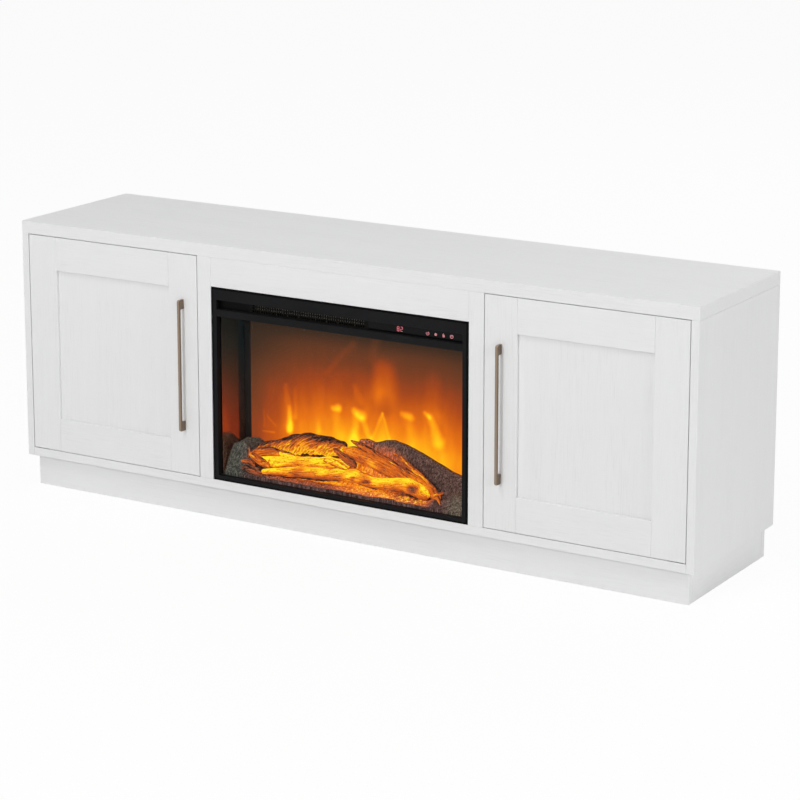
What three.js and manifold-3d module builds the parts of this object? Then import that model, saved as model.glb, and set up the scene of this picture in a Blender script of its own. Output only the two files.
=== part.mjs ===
// Fireplace tv stand: a low white cabinet with two framed doors and an electric log fire.
// Lengths are millimetres. X runs to the right, Y to the back, Z up. The origin lies on the
// floor, under the middle of the box that holds the cabinet and its handles.
import * as THREE from "three";
import { mergeVertices } from "three/addons/utils/BufferGeometryUtils.js";
import Module from "manifold-3d";

const wasm = await Module();
wasm.setup();

// Cabinet boards
const cabinetWidth = 1727;
const cabinetDepth = 400;
const cabinetHeight = 635;
const topThickness = 29;
const bottomThickness = 20;
const sideThickness = 18;
const dividerThickness = 18;
const backThickness = 5;
const boardBevel = 0.8;
const jointGap = 0.1;
const seatGap = 0.3;
const cutOverrun = 5;

// Plinth
const plinthHeight = 73;
const plinthFrontInset = 18;
const plinthSideInset = 18;
const plinthBackInset = 3;
const plinthThickness = 16;

// Fascia round the fire
const fasciaThickness = 18;
const fasciaStileWidth = 36.5;
const fasciaRailHeight = 66.5;

// Shelves
const shelfThickness = 15;
const shelfSetback = 60;
const shelfHeight = 262;

// Back panel openings
const cableHoleDiameter = 60;
const cableHoleHeight = 120;
const cableHoleSides = 32;
const ventWidth = 340;
const ventHeight = 180;
const ventBase = 190;

// Doors
const doorGap = 1.6;
const doorThickness = 18;
const doorStileWidth = 78;
const doorRailWidth = 78;
const doorPanelRecess = 7.5;
const doorPanelThickness = 6;
const doorGrooveDepth = 8;

// Door pivots
const pivotInset = 4.2;
const pivotPinDiameter = 3.6;
const pivotPinReach = 6;
const pivotPinSides = 16;
const pivotPlateLength = 40;
const pivotPlateWidth = 12;
const pivotPlateMargin = 2.4;
const pivotPlateThickness = 2;

// Door handles
const handleLength = 304;
const handleProjection = 18.5;
const handleWidth = 6;
const handleBarDepth = 6;
const handlePostHeight = 21.5;
const handleCornerCut = 3;
const handleFillet = 3;
const handleFilletSteps = 4;
const handleBevel = 0.4;

// Magnetic catches
const catchLength = 42;
const catchDepth = 14;
const catchHeight = 12;
const catchEdgeInset = 20;
const catchBevel = 0.6;
const strikeLength = 30;
const strikeHeight = 9;
const strikeThickness = 1;
const strikeTopInset = 1;

// Fire insert: outer frame
const insertWidth = 660;
const insertSideClearance = 1.5;
const insertTopClearance = 1.5;
const frameDepth = 13;
const frameSideBand = 13.5;
const frameBottomBand = 11.5;
const frameTopBand = 27.5;
const stripHeight = 22;
const stripBar = 15.5;
const frameRimWidth = 4.3;
const frameRimStep = 1;
const frameBevel = 0.5;

// Fire insert: strip above the glass
const stripFlange = 4.5;
const grilleThickness = 2;
const panelThickness = 3;
const grilleShare = 0.617;
const grilleHoleWidth = 3.8;
const grilleHoleHeight = 4.6;
const grilleRunShare = 0.4645;
const grilleHolePitchZ = 6.4;
const grilleColumns = 49;
const grilleRows = 3;
const grilleRightMargin = 10;

// Fire insert: glass, case and liner
const glassThickness = 4;
const glassLap = 5.5;
const caseDepth = 186;
const caseSideInset = 4;
const caseTopInset = 2;
const caseSheet = 1.5;
const caseSlotCount = 12;
const caseSlotWidth = 8;
const caseSlotHeight = 34;
const caseSlotPitch = 24;
const partitionRise = 6;
const linerSheet = 1.5;
const screenDepthShare = 0.5806;
const screenThickness = 2;

// Fire insert: ember bed and logs
const logSetHeight = 130;
const bedFrontHeight = 12;
const bedColumns = 36;
const bedRows = 8;
const bedCrestShare = 0.74;
const bedRise = 1.25;
const logRadiusShare = 0.266;
const logSides = 12;
const logRidges = 5;
const logRidgeShare = 0.05;

// Fire insert: flame rotor and its light
const rotorBackGap = 35;
const rotorHeight = 48;
const rotorRadius = 24;
const rotorShaftDiameter = 5;
const rotorShaftSides = 12;
const rotorPaddleCount = 9;
const rotorPaddleLength = 56;
const rotorPaddleThickness = 1;
const motorDiameter = 44;
const motorLength = 20;
const motorSides = 24;
const bearingClearance = 0.3;
const ledBoardWidth = 14;
const ledBoardThickness = 1.6;
const ledCount = 12;
const ledSize = 6;
const ledHeight = 2;
const ledBoardSetback = 6;

// Fire insert: heater
const wheelRadius = 20;
const wheelBladeCount = 14;
const wheelBladeDepth = 6;
const wheelBladeThickness = 1;
const wheelBladeInset = 0.6;
const wheelDiscThickness = 1.5;
const wheelShaftDiameter = 6;
const wheelShaftReach = 6;
const wheelSides = 28;
const wheelSetback = 74;
const blowerSheet = 1.5;
const blowerClearance = 3;
const blowerEndGap = 3;
const blowerArcSteps = 14;
const blowerWrapDegrees = 60;
const blowerTongueShare = 0.55;
const heaterDepth = 14;
const heaterFins = 21;
const heaterFinThickness = 1.2;
const heaterCoreShare = 0.3;
const heaterSetback = 6;
const blowerMotorDiameter = 38;
const blowerMotorLength = 28;

// Fire insert: control board, cord gland and brackets
const boardLength = 190;
const boardWidth = 90;
const boardThickness = 1.6;
const boardStandoff = 6;
const boardStandoffSize = 6;
const boardBackGap = 42.8;
const boardRightMargin = 16;
const glandBore = 7;
const glandBarrel = 13;
const glandFlange = 22;
const glandFlangeThickness = 2.5;
const glandDomeLength = 11;
const glandSides = 24;
const glandSideShare = 0.76;
const bracketSheet = 1.5;
const bracketDepth = 40;
const bracketHeight = 36;
const bracketSetback = 62;
const bracketRise = 190;

// Planes and lines that the pieces share
const frontY = (handleProjection - cabinetDepth) / 2;
const backY = frontY + cabinetDepth;
const halfWidth = cabinetWidth / 2;
const innerHalfWidth = halfWidth - sideThickness;
const boardBackY = backY - backThickness - jointGap;
const floorTop = plinthHeight + bottomThickness;
const ceiling = cabinetHeight - topThickness;
const openingHalfWidth = insertWidth / 2 + insertSideClearance;
const openingTop = ceiling - fasciaRailHeight;
const insertHeight = openingTop - floorTop - insertTopClearance;
const bayStart = openingHalfWidth + fasciaStileWidth;
const shelfTop = plinthHeight + shelfHeight;
const doorWidth = innerHalfWidth - bayStart - 2 * doorGap;
const doorHeight = ceiling - floorTop - 2 * doorGap;

// Turns a geometry into a solid that can be cut and joined.
function toSolid(geometry) {
  const bare = geometry.clone();
  bare.deleteAttribute("normal");
  bare.deleteAttribute("uv");
  const merged = mergeVertices(bare);
  const vertProperties = new Float32Array(merged.attributes.position.array);
  const triVerts = new Uint32Array(merged.index.array);
  return new wasm.Manifold(new wasm.Mesh({ numProp: 3, vertProperties, triVerts }));
}

function fromSolid(solid) {
  const mesh = solid.getMesh();
  const geometry = new THREE.BufferGeometry();
  geometry.setAttribute("position", new THREE.BufferAttribute(mesh.vertProperties, 3));
  geometry.setIndex(new THREE.BufferAttribute(mesh.triVerts, 1));
  geometry.computeVertexNormals();
  return geometry;
}

function cut(geometry, ...tools) {
  const rest = tools.reduce((solid, tool) => solid.subtract(toSolid(tool)), toSolid(geometry));
  return fromSolid(rest);
}

function join(geometry, ...others) {
  const whole = others.reduce((solid, other) => solid.add(toSolid(other)), toSolid(geometry));
  return fromSolid(whole);
}

// A closed geometry from a list of points and a list of triangles.
function fromPoints(points, triangles) {
  const geometry = new THREE.BufferGeometry();
  geometry.setAttribute("position", new THREE.Float32BufferAttribute(points.flat(), 3));
  geometry.setIndex(triangles.flat());
  geometry.computeVertexNormals();
  return geometry;
}

// A box between two values on each axis. With a bevel its edges are cut at 45 degrees.
function slab(xs, ys, zs, bevel = 0) {
  const low = [xs, ys, zs].map((pair) => Math.min(...pair));
  const high = [xs, ys, zs].map((pair) => Math.max(...pair));
  const size = high.map((value, axis) => value - low[axis]);
  const middle = high.map((value, axis) => (value + low[axis]) / 2);
  if (bevel === 0) return new THREE.BoxGeometry(...size).translate(...middle);
  const [a, b] = [size[0] / 2, size[1] / 2];
  const outline = new THREE.Shape([
    new THREE.Vector2(a - bevel, -b), new THREE.Vector2(a, bevel - b),
    new THREE.Vector2(a, b - bevel), new THREE.Vector2(a - bevel, b),
    new THREE.Vector2(bevel - a, b), new THREE.Vector2(-a, b - bevel),
    new THREE.Vector2(-a, bevel - b), new THREE.Vector2(bevel - a, -b),
  ]);
  const options = { depth: size[2] - 2 * bevel, bevelThickness: bevel, bevelSize: bevel };
  options.bevelOffset = -bevel;
  options.bevelSegments = 1;
  const geometry = new THREE.ExtrudeGeometry(outline, options);
  return geometry.translate(middle[0], middle[1], middle[2] + bevel - size[2] / 2);
}

// A round bar along one axis between two values, with its middle at the two others.
function rod(axis, from, to, centre, diameter, sides) {
  const geometry = new THREE.CylinderGeometry(diameter / 2, diameter / 2, Math.abs(to - from), sides);
  const middle = (from + to) / 2;
  if (axis === "x") return geometry.rotateZ(Math.PI / 2).translate(middle, centre[0], centre[1]);
  if (axis === "y") return geometry.translate(centre[0], middle, centre[1]);
  return geometry.rotateX(Math.PI / 2).translate(centre[0], centre[1], middle);
}

// Extrudes an outline drawn in Y and Z along X.
function extrudeAlongX(outline, from, to, bevel = 0) {
  const options = { depth: Math.abs(to - from) - 2 * bevel, bevelEnabled: bevel > 0 };
  Object.assign(options, { bevelThickness: bevel, bevelSize: bevel, bevelOffset: -bevel });
  options.bevelSegments = 1;
  const turn = new THREE.Matrix4().makeBasis(
    new THREE.Vector3(0, 1, 0), new THREE.Vector3(0, 0, 1), new THREE.Vector3(1, 0, 0));
  const geometry = new THREE.ExtrudeGeometry(outline, options).applyMatrix4(turn);
  return geometry.translate(Math.min(from, to) + bevel, 0, 0);
}

const finishes = {
  whiteWoodgrain: { color: "#e6e5e3", roughness: 0.55, metalness: 0 },
  rawBoard: { color: "#b79a74", roughness: 0.8, metalness: 0 },
  bronze: { color: "#8d7a66", roughness: 0.35, metalness: 0.9 },
  steel: { color: "#b9bcbf", roughness: 0.35, metalness: 0.9 },
  blackSteel: { color: "#222325", roughness: 0.5, metalness: 0.2 },
  blackGloss: { color: "#0b0b0d", roughness: 0.12, metalness: 0 },
  blackPlastic: { color: "#18181a", roughness: 0.6, metalness: 0 },
  glass: { color: "#3a3a3c", roughness: 0.04, metalness: 0 },
  flameScreen: { color: "#e07b22", roughness: 0.5, metalness: 0 },
  charcoal: { color: "#3d3b38", roughness: 0.95, metalness: 0 },
  bark: { color: "#7a4a2c", roughness: 0.9, metalness: 0 },
  ember: { color: "#f0921e", roughness: 0.8, metalness: 0 },
  whitePlastic: { color: "#e9e9e6", roughness: 0.5, metalness: 0 },
  circuitGreen: { color: "#1d5b3a", roughness: 0.5, metalness: 0 },
};

// Adds one named piece to a group, placed at the middle of its own box.
function addPart(group, name, geometry, finish) {
  geometry.computeBoundingBox();
  const middle = geometry.boundingBox.getCenter(new THREE.Vector3());
  geometry.translate(-middle.x, -middle.y, -middle.z);
  const mesh = new THREE.Mesh(geometry, new THREE.MeshStandardMaterial(finishes[finish]));
  mesh.name = name;
  mesh.position.copy(middle);
  group.add(mesh);
}

const sides = [["left", -1], ["right", 1]];

// Pivot plates: each is let into the top or the bottom panel and carries a round pin.
const pivotX = innerHalfWidth - doorGap - pivotInset;
const pivotY = frontY + pivotInset;

// The plate reaches from just past its pin towards the middle of the cabinet.
function pivotPlate(side, face, up, gap) {
  const outer = side * (pivotX + pivotPlateMargin + gap);
  const inner = side * (pivotX + pivotPlateMargin - pivotPlateLength - gap);
  const front = pivotY - pivotPlateMargin - gap;
  const back = pivotY - pivotPlateMargin + pivotPlateWidth + gap;
  return slab([outer, inner], [front, back], [face, face + up * (pivotPlateThickness + gap)]);
}

function pivot(side, face, up) {
  const root = face + up * pivotPlateThickness / 2;
  const tip = face - up * (doorGap + pivotPinReach);
  const pin = rod("z", root, tip, [side * pivotX, pivotY], pivotPinDiameter, pivotPinSides);
  return join(pivotPlate(side, face, up, 0), pin);
}

// The space for a plate runs out through the face that it is let into.
function pivotPocket(side, face, up) {
  const pocket = pivotPlate(side, face, up, seatGap);
  return join(pocket, pocket.clone().translate(0, 0, -up * pivotPlateThickness / 2));
}

function buildCarcass() {
  const carcass = new THREE.Group();
  const depth = [frontY, backY];
  const boardDepth = [frontY, boardBackY];
  const between = [jointGap - innerHalfWidth, innerHalfWidth - jointGap];

  let top = slab([-halfWidth, halfWidth], depth, [ceiling, cabinetHeight], boardBevel);
  let bottom = slab(between, boardDepth, [plinthHeight, floorTop], boardBevel);
  for (const [, side] of sides) {
    top = cut(top, pivotPocket(side, ceiling, 1));
    bottom = cut(bottom, pivotPocket(side, floorTop, -1));
  }
  addPart(carcass, "top_panel", top, "whiteWoodgrain");
  addPart(carcass, "bottom_panel", bottom, "whiteWoodgrain");

  const dividerFront = frontY + fasciaThickness + jointGap;
  const upright = [floorTop + jointGap, ceiling - jointGap];
  for (const [label, side] of sides) {
    const panelX = [side * innerHalfWidth, side * halfWidth];
    const panel = slab(panelX, depth, [plinthHeight, ceiling - jointGap], boardBevel);
    addPart(carcass, `${label}_side_panel`, panel, "whiteWoodgrain");

    const dividerX = [side * (bayStart - dividerThickness), side * bayStart];
    const divider = slab(dividerX, [dividerFront, boardBackY], upright, boardBevel);
    addPart(carcass, `${label}_divider`, divider, "whiteWoodgrain");

    const shelfX = [side * (bayStart + jointGap), side * (innerHalfWidth - jointGap)];
    const shelfZ = [shelfTop - shelfThickness, shelfTop];
    const shelf = slab(shelfX, [frontY + shelfSetback, boardBackY], shelfZ, boardBevel);
    addPart(carcass, `${label}_shelf`, shelf, "whiteWoodgrain");

    addPart(carcass, `${label}_door_upper_pivot`, pivot(side, ceiling, 1), "steel");
    addPart(carcass, `${label}_door_lower_pivot`, pivot(side, floorTop, -1), "steel");

    const catchOuter = bayStart + doorGap + catchEdgeInset;
    const catchX = [side * catchOuter, side * (catchOuter + catchLength)];
    const catchFront = frontY + doorThickness + jointGap + strikeThickness + seatGap;
    const catchY = [catchFront, catchFront + catchDepth];
    const catchZ = [ceiling - jointGap - catchHeight, ceiling - jointGap];
    const magnet = slab(catchX, catchY, catchZ, catchBevel);
    addPart(carcass, `${label}_magnetic_catch`, magnet, "whitePlastic");
  }

  const sheetY = [backY - backThickness, backY];
  const holeY = [sheetY[0] - cutOverrun, sheetY[1] + cutOverrun];
  const sheet = slab(between, sheetY, [plinthHeight, ceiling - jointGap]);
  const holes = [-1, 1].map((side) => {
    const holeCentre = [side * (bayStart + innerHalfWidth) / 2, floorTop + cableHoleHeight];
    return rod("y", ...holeY, holeCentre, cableHoleDiameter, cableHoleSides);
  });
  const ventZ = [floorTop + ventBase, floorTop + ventBase + ventHeight];
  const vent = slab([-ventWidth / 2, ventWidth / 2], holeY, ventZ);
  addPart(carcass, "back_panel", cut(sheet, ...holes, vent), "whiteWoodgrain");
  return carcass;
}

function buildPlinth() {
  const plinth = new THREE.Group();
  const reach = halfWidth - plinthSideInset;
  const front = frontY + plinthFrontInset;
  const back = backY - plinthBackInset;
  const height = [0, plinthHeight - jointGap];
  const betweenRails = [front + plinthThickness + jointGap, back - plinthThickness - jointGap];
  const half = plinthThickness / 2;
  const rails = {
    plinth_front_rail: [[-reach, reach], [front, front + plinthThickness]],
    plinth_back_rail: [[-reach, reach], [back - plinthThickness, back]],
    plinth_left_rail: [[-reach, plinthThickness - reach], betweenRails],
    plinth_right_rail: [[reach - plinthThickness, reach], betweenRails],
    plinth_center_rail: [[-half, half], betweenRails],
  };
  for (const [name, [xs, ys]] of Object.entries(rails)) {
    addPart(plinth, name, slab(xs, ys, height, boardBevel), "whiteWoodgrain");
  }
  return plinth;
}

function buildFascia() {
  const fascia = new THREE.Group();
  const ys = [frontY, frontY + fasciaThickness];
  const top = ceiling - jointGap;
  for (const [label, side] of sides) {
    const xs = [side * openingHalfWidth, side * bayStart];
    const stile = slab(xs, ys, [floorTop + jointGap, top], boardBevel);
    addPart(fascia, `fascia_${label}_stile`, stile, "whiteWoodgrain");
  }
  const span = openingHalfWidth - jointGap;
  const rail = slab([-span, span], ys, [openingTop, top], boardBevel);
  addPart(fascia, "fascia_top_rail", rail, "whiteWoodgrain");
  return fascia;
}

// The handle's side view: a bar on two posts, its outer corners cut, its inner ones rounded.
function handleOutline() {
  const half = handleLength / 2;
  const face = -handleProjection;
  const inside = face + handleBarDepth;
  const post = half - handlePostHeight;
  const outline = new THREE.Shape();
  outline.moveTo(-jointGap, half);
  outline.lineTo(face + handleCornerCut, half);
  outline.lineTo(face, half - handleCornerCut);
  outline.lineTo(face, handleCornerCut - half);
  outline.lineTo(face + handleCornerCut, -half);
  outline.lineTo(-jointGap, -half);
  outline.lineTo(-jointGap, -post);
  outline.lineTo(inside + handleFillet, -post);
  outline.quadraticCurveTo(inside, -post, inside, handleFillet - post);
  outline.lineTo(inside, post - handleFillet);
  outline.quadraticCurveTo(inside, post, inside + handleFillet, post);
  outline.lineTo(-jointGap, post);
  outline.closePath();
  const { shape } = outline.extractPoints(handleFilletSteps);
  return new THREE.Shape(shape);
}

// A door in its own group: u runs from the hinge edge, v from the front face, w upwards.
function buildDoor(label, side) {
  const door = new THREE.Group();
  door.position.set(side * (innerHalfWidth - doorGap), frontY, floorTop + doorGap);
  const across = (u0, u1) => [-side * u0, -side * u1];
  const piece = (us, vs, ws, bevel = 0) => slab(across(...us), vs, ws, bevel);

  const thickness = [0, doorThickness];
  const panelV = [doorPanelRecess, doorPanelRecess + doorPanelThickness];
  const grooveV = [panelV[0] - seatGap, panelV[1] + seatGap];
  const innerLeft = doorStileWidth;
  const innerRight = doorWidth - doorStileWidth;
  const innerLow = doorRailWidth;
  const innerHigh = doorHeight - doorRailWidth;
  const railU = [innerLeft + jointGap, innerRight - jointGap];
  const tongue = doorGrooveDepth - seatGap;
  const tongueU = [innerLeft - tongue, innerRight + tongue];
  const grooveAll = piece([innerLeft - doorGrooveDepth, innerRight + doorGrooveDepth], grooveV,
    [innerLow - doorGrooveDepth, innerHigh + doorGrooveDepth]);
  const stileGroove = piece([innerLeft - doorGrooveDepth, innerRight + doorGrooveDepth], grooveV,
    [-cutOverrun, doorHeight + cutOverrun]);

  const pinHole = (from, to) => rod("z", from, to, [-side * pivotInset, pivotInset],
    pivotPinDiameter + 2 * seatGap, pivotPinSides);
  const holeDepth = pivotPinReach + seatGap;
  const hingeStile = piece([0, innerLeft], thickness, [0, doorHeight], boardBevel);
  const lowerHole = pinHole(-cutOverrun, holeDepth);
  const upperHole = pinHole(doorHeight - holeDepth, doorHeight + cutOverrun);
  const name = (part) => `${label}_door_${part}`;
  addPart(door, name("hinge_stile"), cut(hingeStile, stileGroove, lowerHole, upperHole),
    "whiteWoodgrain");

  const handleStile = piece([innerRight, doorWidth], thickness, [0, doorHeight], boardBevel);
  addPart(door, name("handle_stile"), cut(handleStile, stileGroove), "whiteWoodgrain");

  const railHeights = { bottom_rail: [0, innerLow], top_rail: [innerHigh, doorHeight] };
  for (const [part, ws] of Object.entries(railHeights)) {
    const rail = piece(railU, thickness, ws, boardBevel);
    const tongueW = [ws[0] + boardBevel, ws[1] - boardBevel];
    const withTongues = join(rail, piece(tongueU, panelV, tongueW));
    addPart(door, name(part), cut(withTongues, grooveAll), "whiteWoodgrain");
  }

  const panelU = [innerLeft - tongue, innerRight + tongue];
  const panel = piece(panelU, panelV, [innerLow - tongue, innerHigh + tongue]);
  addPart(door, name("panel"), panel, "whiteWoodgrain");

  const handleU = doorWidth - doorStileWidth / 2;
  const handleX = across(handleU - handleWidth / 2, handleU + handleWidth / 2);
  const handle = extrudeAlongX(handleOutline(), ...handleX, handleBevel);
  handle.translate(0, 0, doorHeight / 2);
  addPart(door, name("handle"), handle, "bronze");

  const strikeMiddle = doorWidth - catchEdgeInset - catchLength / 2;
  const strikeU = [strikeMiddle - strikeLength / 2, strikeMiddle + strikeLength / 2];
  const strikeFront = doorThickness + jointGap;
  const strikeV = [strikeFront, strikeFront + strikeThickness];
  const strikeTop = doorHeight - strikeTopInset;
  const strike = piece(strikeU, strikeV, [strikeTop - strikeHeight, strikeTop]);
  addPart(door, name("strike_plate"), strike, "steel");
  return door;
}

// Heights and widths inside the fire insert, from its own bottom middle and front face
const glassTop = insertHeight - frameTopBand - stripHeight - stripBar;
const stripLow = glassTop + stripBar;
const stripHigh = stripLow + stripHeight;
const windowHalfWidth = insertWidth / 2 - frameSideBand;
const plateY = frameDepth + 2 * jointGap;
const glassBack = plateY + glassThickness;
const caseHalfWidth = insertWidth / 2 - caseSideInset;
const caseInnerHalfWidth = caseHalfWidth - caseSheet;
const caseTop = insertHeight - caseTopInset;
const caseBackInner = caseDepth - caseSheet;
const screenSetback = caseDepth * screenDepthShare;
const rotorSetback = caseDepth - rotorBackGap;
const partitionLow = glassTop + partitionRise;
const partitionHigh = partitionLow + caseSheet;
const linerLow = caseSheet + seatGap;
const linerTop = partitionLow - seatGap;
const linerFloor = linerLow + linerSheet;
const linerOuterHalfWidth = windowHalfWidth + linerSheet;
const linerFront = glassBack + seatGap;
const linerBack = caseBackInner - seatGap;
const bedFloor = linerFloor + seatGap;
const bedHalfWidth = windowHalfWidth - seatGap;
const bedDepth = screenSetback - seatGap - linerFront;
const logRadius = bedDepth * logRadiusShare;

// The strip is split between the grille and the control panel. The blower wheel lies behind
// the grille and is as long as the row of holes.
const stripSplit = windowHalfWidth * (2 * grilleShare - 1);
const grilleRight = stripSplit - grilleRightMargin;
const wheelLength = 2 * windowHalfWidth * grilleRunShare;
const grilleHolePitchX = wheelLength / grilleColumns;
const wheelMiddle = grilleRight - wheelLength / 2;

function buildFrame(insert) {
  const half = insertWidth / 2;
  const rim = slab([-half, half], [frameRimStep, frameDepth], [0, insertHeight], frameBevel);
  const faceHalf = half - frameRimWidth;
  const faceZ = [frameRimWidth, insertHeight - frameRimWidth];
  const face = slab([-faceHalf, faceHalf], [0, frameDepth / 2], faceZ, frameBevel);
  const through = [-cutOverrun, frameDepth + cutOverrun];
  const xs = [-windowHalfWidth, windowHalfWidth];
  const glassWindow = slab(xs, through, [frameBottomBand, glassTop]);
  const stripWindow = slab(xs, through, [stripLow, stripHigh]);
  const frame = cut(join(rim, face), glassWindow, stripWindow);
  addPart(insert, "insert_front_frame", frame, "blackSteel");
}

function buildStrip(insert) {
  const plateHalf = windowHalfWidth + stripFlange;
  const plateZ = [stripLow - stripFlange, stripHigh + stripFlange];
  const plate = slab([-plateHalf, stripSplit - jointGap], [plateY, plateY + grilleThickness], plateZ);
  const middleZ = (stripLow + stripHigh) / 2;
  const through = [plateY - cutOverrun, plateY + grilleThickness + cutOverrun];
  const holes = [];
  for (let column = 0; column < grilleColumns; column += 1) {
    for (let row = 0; row < grilleRows; row += 1) {
      const x = grilleRight - column * grilleHolePitchX;
      const z = middleZ + (row - (grilleRows - 1) / 2) * grilleHolePitchZ;
      const zs = [z - grilleHoleHeight / 2, z + grilleHoleHeight / 2];
      holes.push(slab([x - grilleHoleWidth, x], through, zs));
    }
  }
  addPart(insert, "vent_grille", cut(plate, ...holes), "blackSteel");

  const panelY = [plateY, plateY + panelThickness];
  const panel = slab([stripSplit + jointGap, plateHalf], panelY, plateZ);
  addPart(insert, "control_panel", panel, "blackGloss");
}

function buildCase(insert) {
  const glassHalf = windowHalfWidth + glassLap;
  const glassZ = [frameBottomBand - glassLap, glassTop + glassLap];
  const glass = slab([-glassHalf, glassHalf], [plateY, glassBack], glassZ);
  addPart(insert, "glass_pane", glass, "glass");

  const shell = slab([-caseHalfWidth, caseHalfWidth], [plateY, caseDepth], [0, caseTop]);
  const innerX = [-caseInnerHalfWidth, caseInnerHalfWidth];
  const innerY = [plateY - cutOverrun, caseBackInner];
  const fireSpace = slab(innerX, innerY, [caseSheet, partitionLow]);
  const heaterSpace = slab(innerX, innerY, [partitionHigh, caseTop - caseSheet]);
  const wallY = [caseBackInner - cutOverrun, caseDepth + cutOverrun];
  const middleZ = (partitionHigh + caseTop - caseSheet) / 2;
  const slots = [];
  for (let slot = 0; slot < caseSlotCount; slot += 1) {
    const x = wheelMiddle + (slot - (caseSlotCount - 1) / 2) * caseSlotPitch;
    const xs = [x - caseSlotWidth / 2, x + caseSlotWidth / 2];
    const zs = [middleZ - caseSlotHeight / 2, middleZ + caseSlotHeight / 2];
    slots.push(slab(xs, wallY, zs));
  }
  const glandX = caseInnerHalfWidth * glandSideShare;
  const barrelHole = glandBarrel + 2 * seatGap;
  const glandHole = rod("y", ...wallY, [glandX, middleZ], barrelHole, glandSides);
  const housing = cut(shell, fireSpace, heaterSpace, glandHole, ...slots);
  addPart(insert, "insert_housing", housing, "blackSteel");

  const half = { bore: glandBore / 2, barrel: glandBarrel / 2, flange: glandFlange / 2 };
  const inside = -caseSheet - seatGap - glandFlangeThickness;
  const profile = [
    [half.bore, inside], [half.flange, inside], [half.flange, inside + glandFlangeThickness],
    [half.barrel, inside + glandFlangeThickness], [half.barrel, seatGap],
    [half.flange, seatGap], [half.flange, seatGap + glandFlangeThickness],
    [half.barrel, glandDomeLength], [half.bore, glandDomeLength], [half.bore, inside],
  ].map(([radius, height]) => new THREE.Vector2(radius, height));
  const gland = new THREE.LatheGeometry(profile, glandSides).translate(glandX, caseDepth, middleZ);
  addPart(insert, "cord_gland", gland, "blackPlastic");

  const outer = slab([-linerOuterHalfWidth, linerOuterHalfWidth], [linerFront, linerBack],
    [linerLow, linerTop]);
  const hollow = slab([-windowHalfWidth, windowHalfWidth],
    [linerFront - cutOverrun, linerBack + cutOverrun], [linerFloor, linerTop + cutOverrun]);
  const bearing = rod("x", windowHalfWidth - cutOverrun, linerOuterHalfWidth + cutOverrun,
    [rotorSetback, rotorHeight], rotorShaftDiameter + 2 * bearingClearance, rotorShaftSides);
  addPart(insert, "firebox_liner", cut(outer, hollow, bearing), "blackGloss");

  const screenY = [screenSetback, screenSetback + screenThickness];
  const screenX = [-bedHalfWidth, bedHalfWidth];
  const screen = slab(screenX, screenY, [bedFloor, linerTop - seatGap]);
  addPart(insert, "flame_screen", screen, "flameScreen");
}

// Stations of each log: shares of the bed's half width, of its depth, of the log set's
// height, and of the full log radius.
const logShares = {
  left_log: [
    [-0.808, 0.45, 0.44, 0.42], [-0.72, 0.47, 0.5, 0.66], [-0.6, 0.5, 0.6, 0.86],
    [-0.49, 0.5, 0.69, 0.98], [-0.31, 0.5, 0.76, 1.06], [-0.17, 0.5, 0.75, 1],
    [-0.075, 0.52, 0.76, 0.8], [-0.045, 0.52, 0.77, 0.5],
  ],
  middle_log: [
    [-0.745, 0.31, 0.33, 0.32], [-0.65, 0.31, 0.34, 0.46], [-0.5, 0.32, 0.36, 0.54],
    [-0.34, 0.32, 0.42, 0.54], [-0.15, 0.32, 0.49, 0.52], [-0.02, 0.34, 0.5, 0.44],
    [0.02, 0.34, 0.5, 0.26],
  ],
  front_log: [
    [-0.69, 0.19, 0.2, 0.28], [-0.54, 0.19, 0.23, 0.44], [-0.27, 0.2, 0.31, 0.52],
    [-0.02, 0.21, 0.37, 0.54], [0.07, 0.21, 0.39, 0.6], [0.2, 0.21, 0.34, 0.58],
    [0.38, 0.22, 0.35, 0.66], [0.58, 0.23, 0.37, 0.8], [0.65, 0.23, 0.31, 0.52],
  ],
  right_log: [
    [-0.04, 0.56, 0.71, 0.4], [0.02, 0.56, 0.7, 0.62], [0.11, 0.56, 0.66, 0.74],
    [0.37, 0.55, 0.5, 0.8], [0.56, 0.53, 0.37, 0.74], [0.7, 0.5, 0.26, 0.5],
    [0.74, 0.48, 0.22, 0.3],
  ],
};

// A log is a row of ridged rings across X, closed by a point at each end.
function logBody(stations, grow) {
  const points = [];
  const triangles = [];
  for (const [xShare, yShare, zShare, radiusShare] of stations) {
    const radius = radiusShare * logRadius + grow;
    for (let step = 0; step < logSides; step += 1) {
      const angle = (step / logSides) * 2 * Math.PI;
      const ridge = 1 + logRidgeShare * Math.sin(logRidges * angle + xShare * logSides);
      points.push([
        xShare * bedHalfWidth,
        linerFront + yShare * bedDepth + radius * ridge * Math.cos(angle),
        bedFloor + zShare * logSetHeight + radius * ridge * Math.sin(angle),
      ]);
    }
  }
  const last = (stations.length - 1) * logSides;
  for (let ring = 0; ring < last; ring += logSides) {
    for (let step = 0; step < logSides; step += 1) {
      const next = (step + 1) % logSides;
      const [a, b] = [ring + step, ring + next];
      triangles.push([a, b, b + logSides], [a, b + logSides, a + logSides]);
    }
  }
  const ends = [[stations[0], 0, -1], [stations[stations.length - 1], last, 1]];
  for (const [[xShare, yShare, zShare, radiusShare], ring, way] of ends) {
    const tip = points.length;
    const overhang = way * (radiusShare * logRadius / 2 + grow);
    points.push([xShare * bedHalfWidth + overhang, linerFront + yShare * bedDepth,
      bedFloor + zShare * logSetHeight]);
    for (let step = 0; step < logSides; step += 1) {
      const pair = [ring + step, ring + (step + 1) % logSides];
      if (way < 0) pair.reverse();
      triangles.push([...pair, tip]);
    }
  }
  return fromPoints(points, triangles);
}

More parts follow.
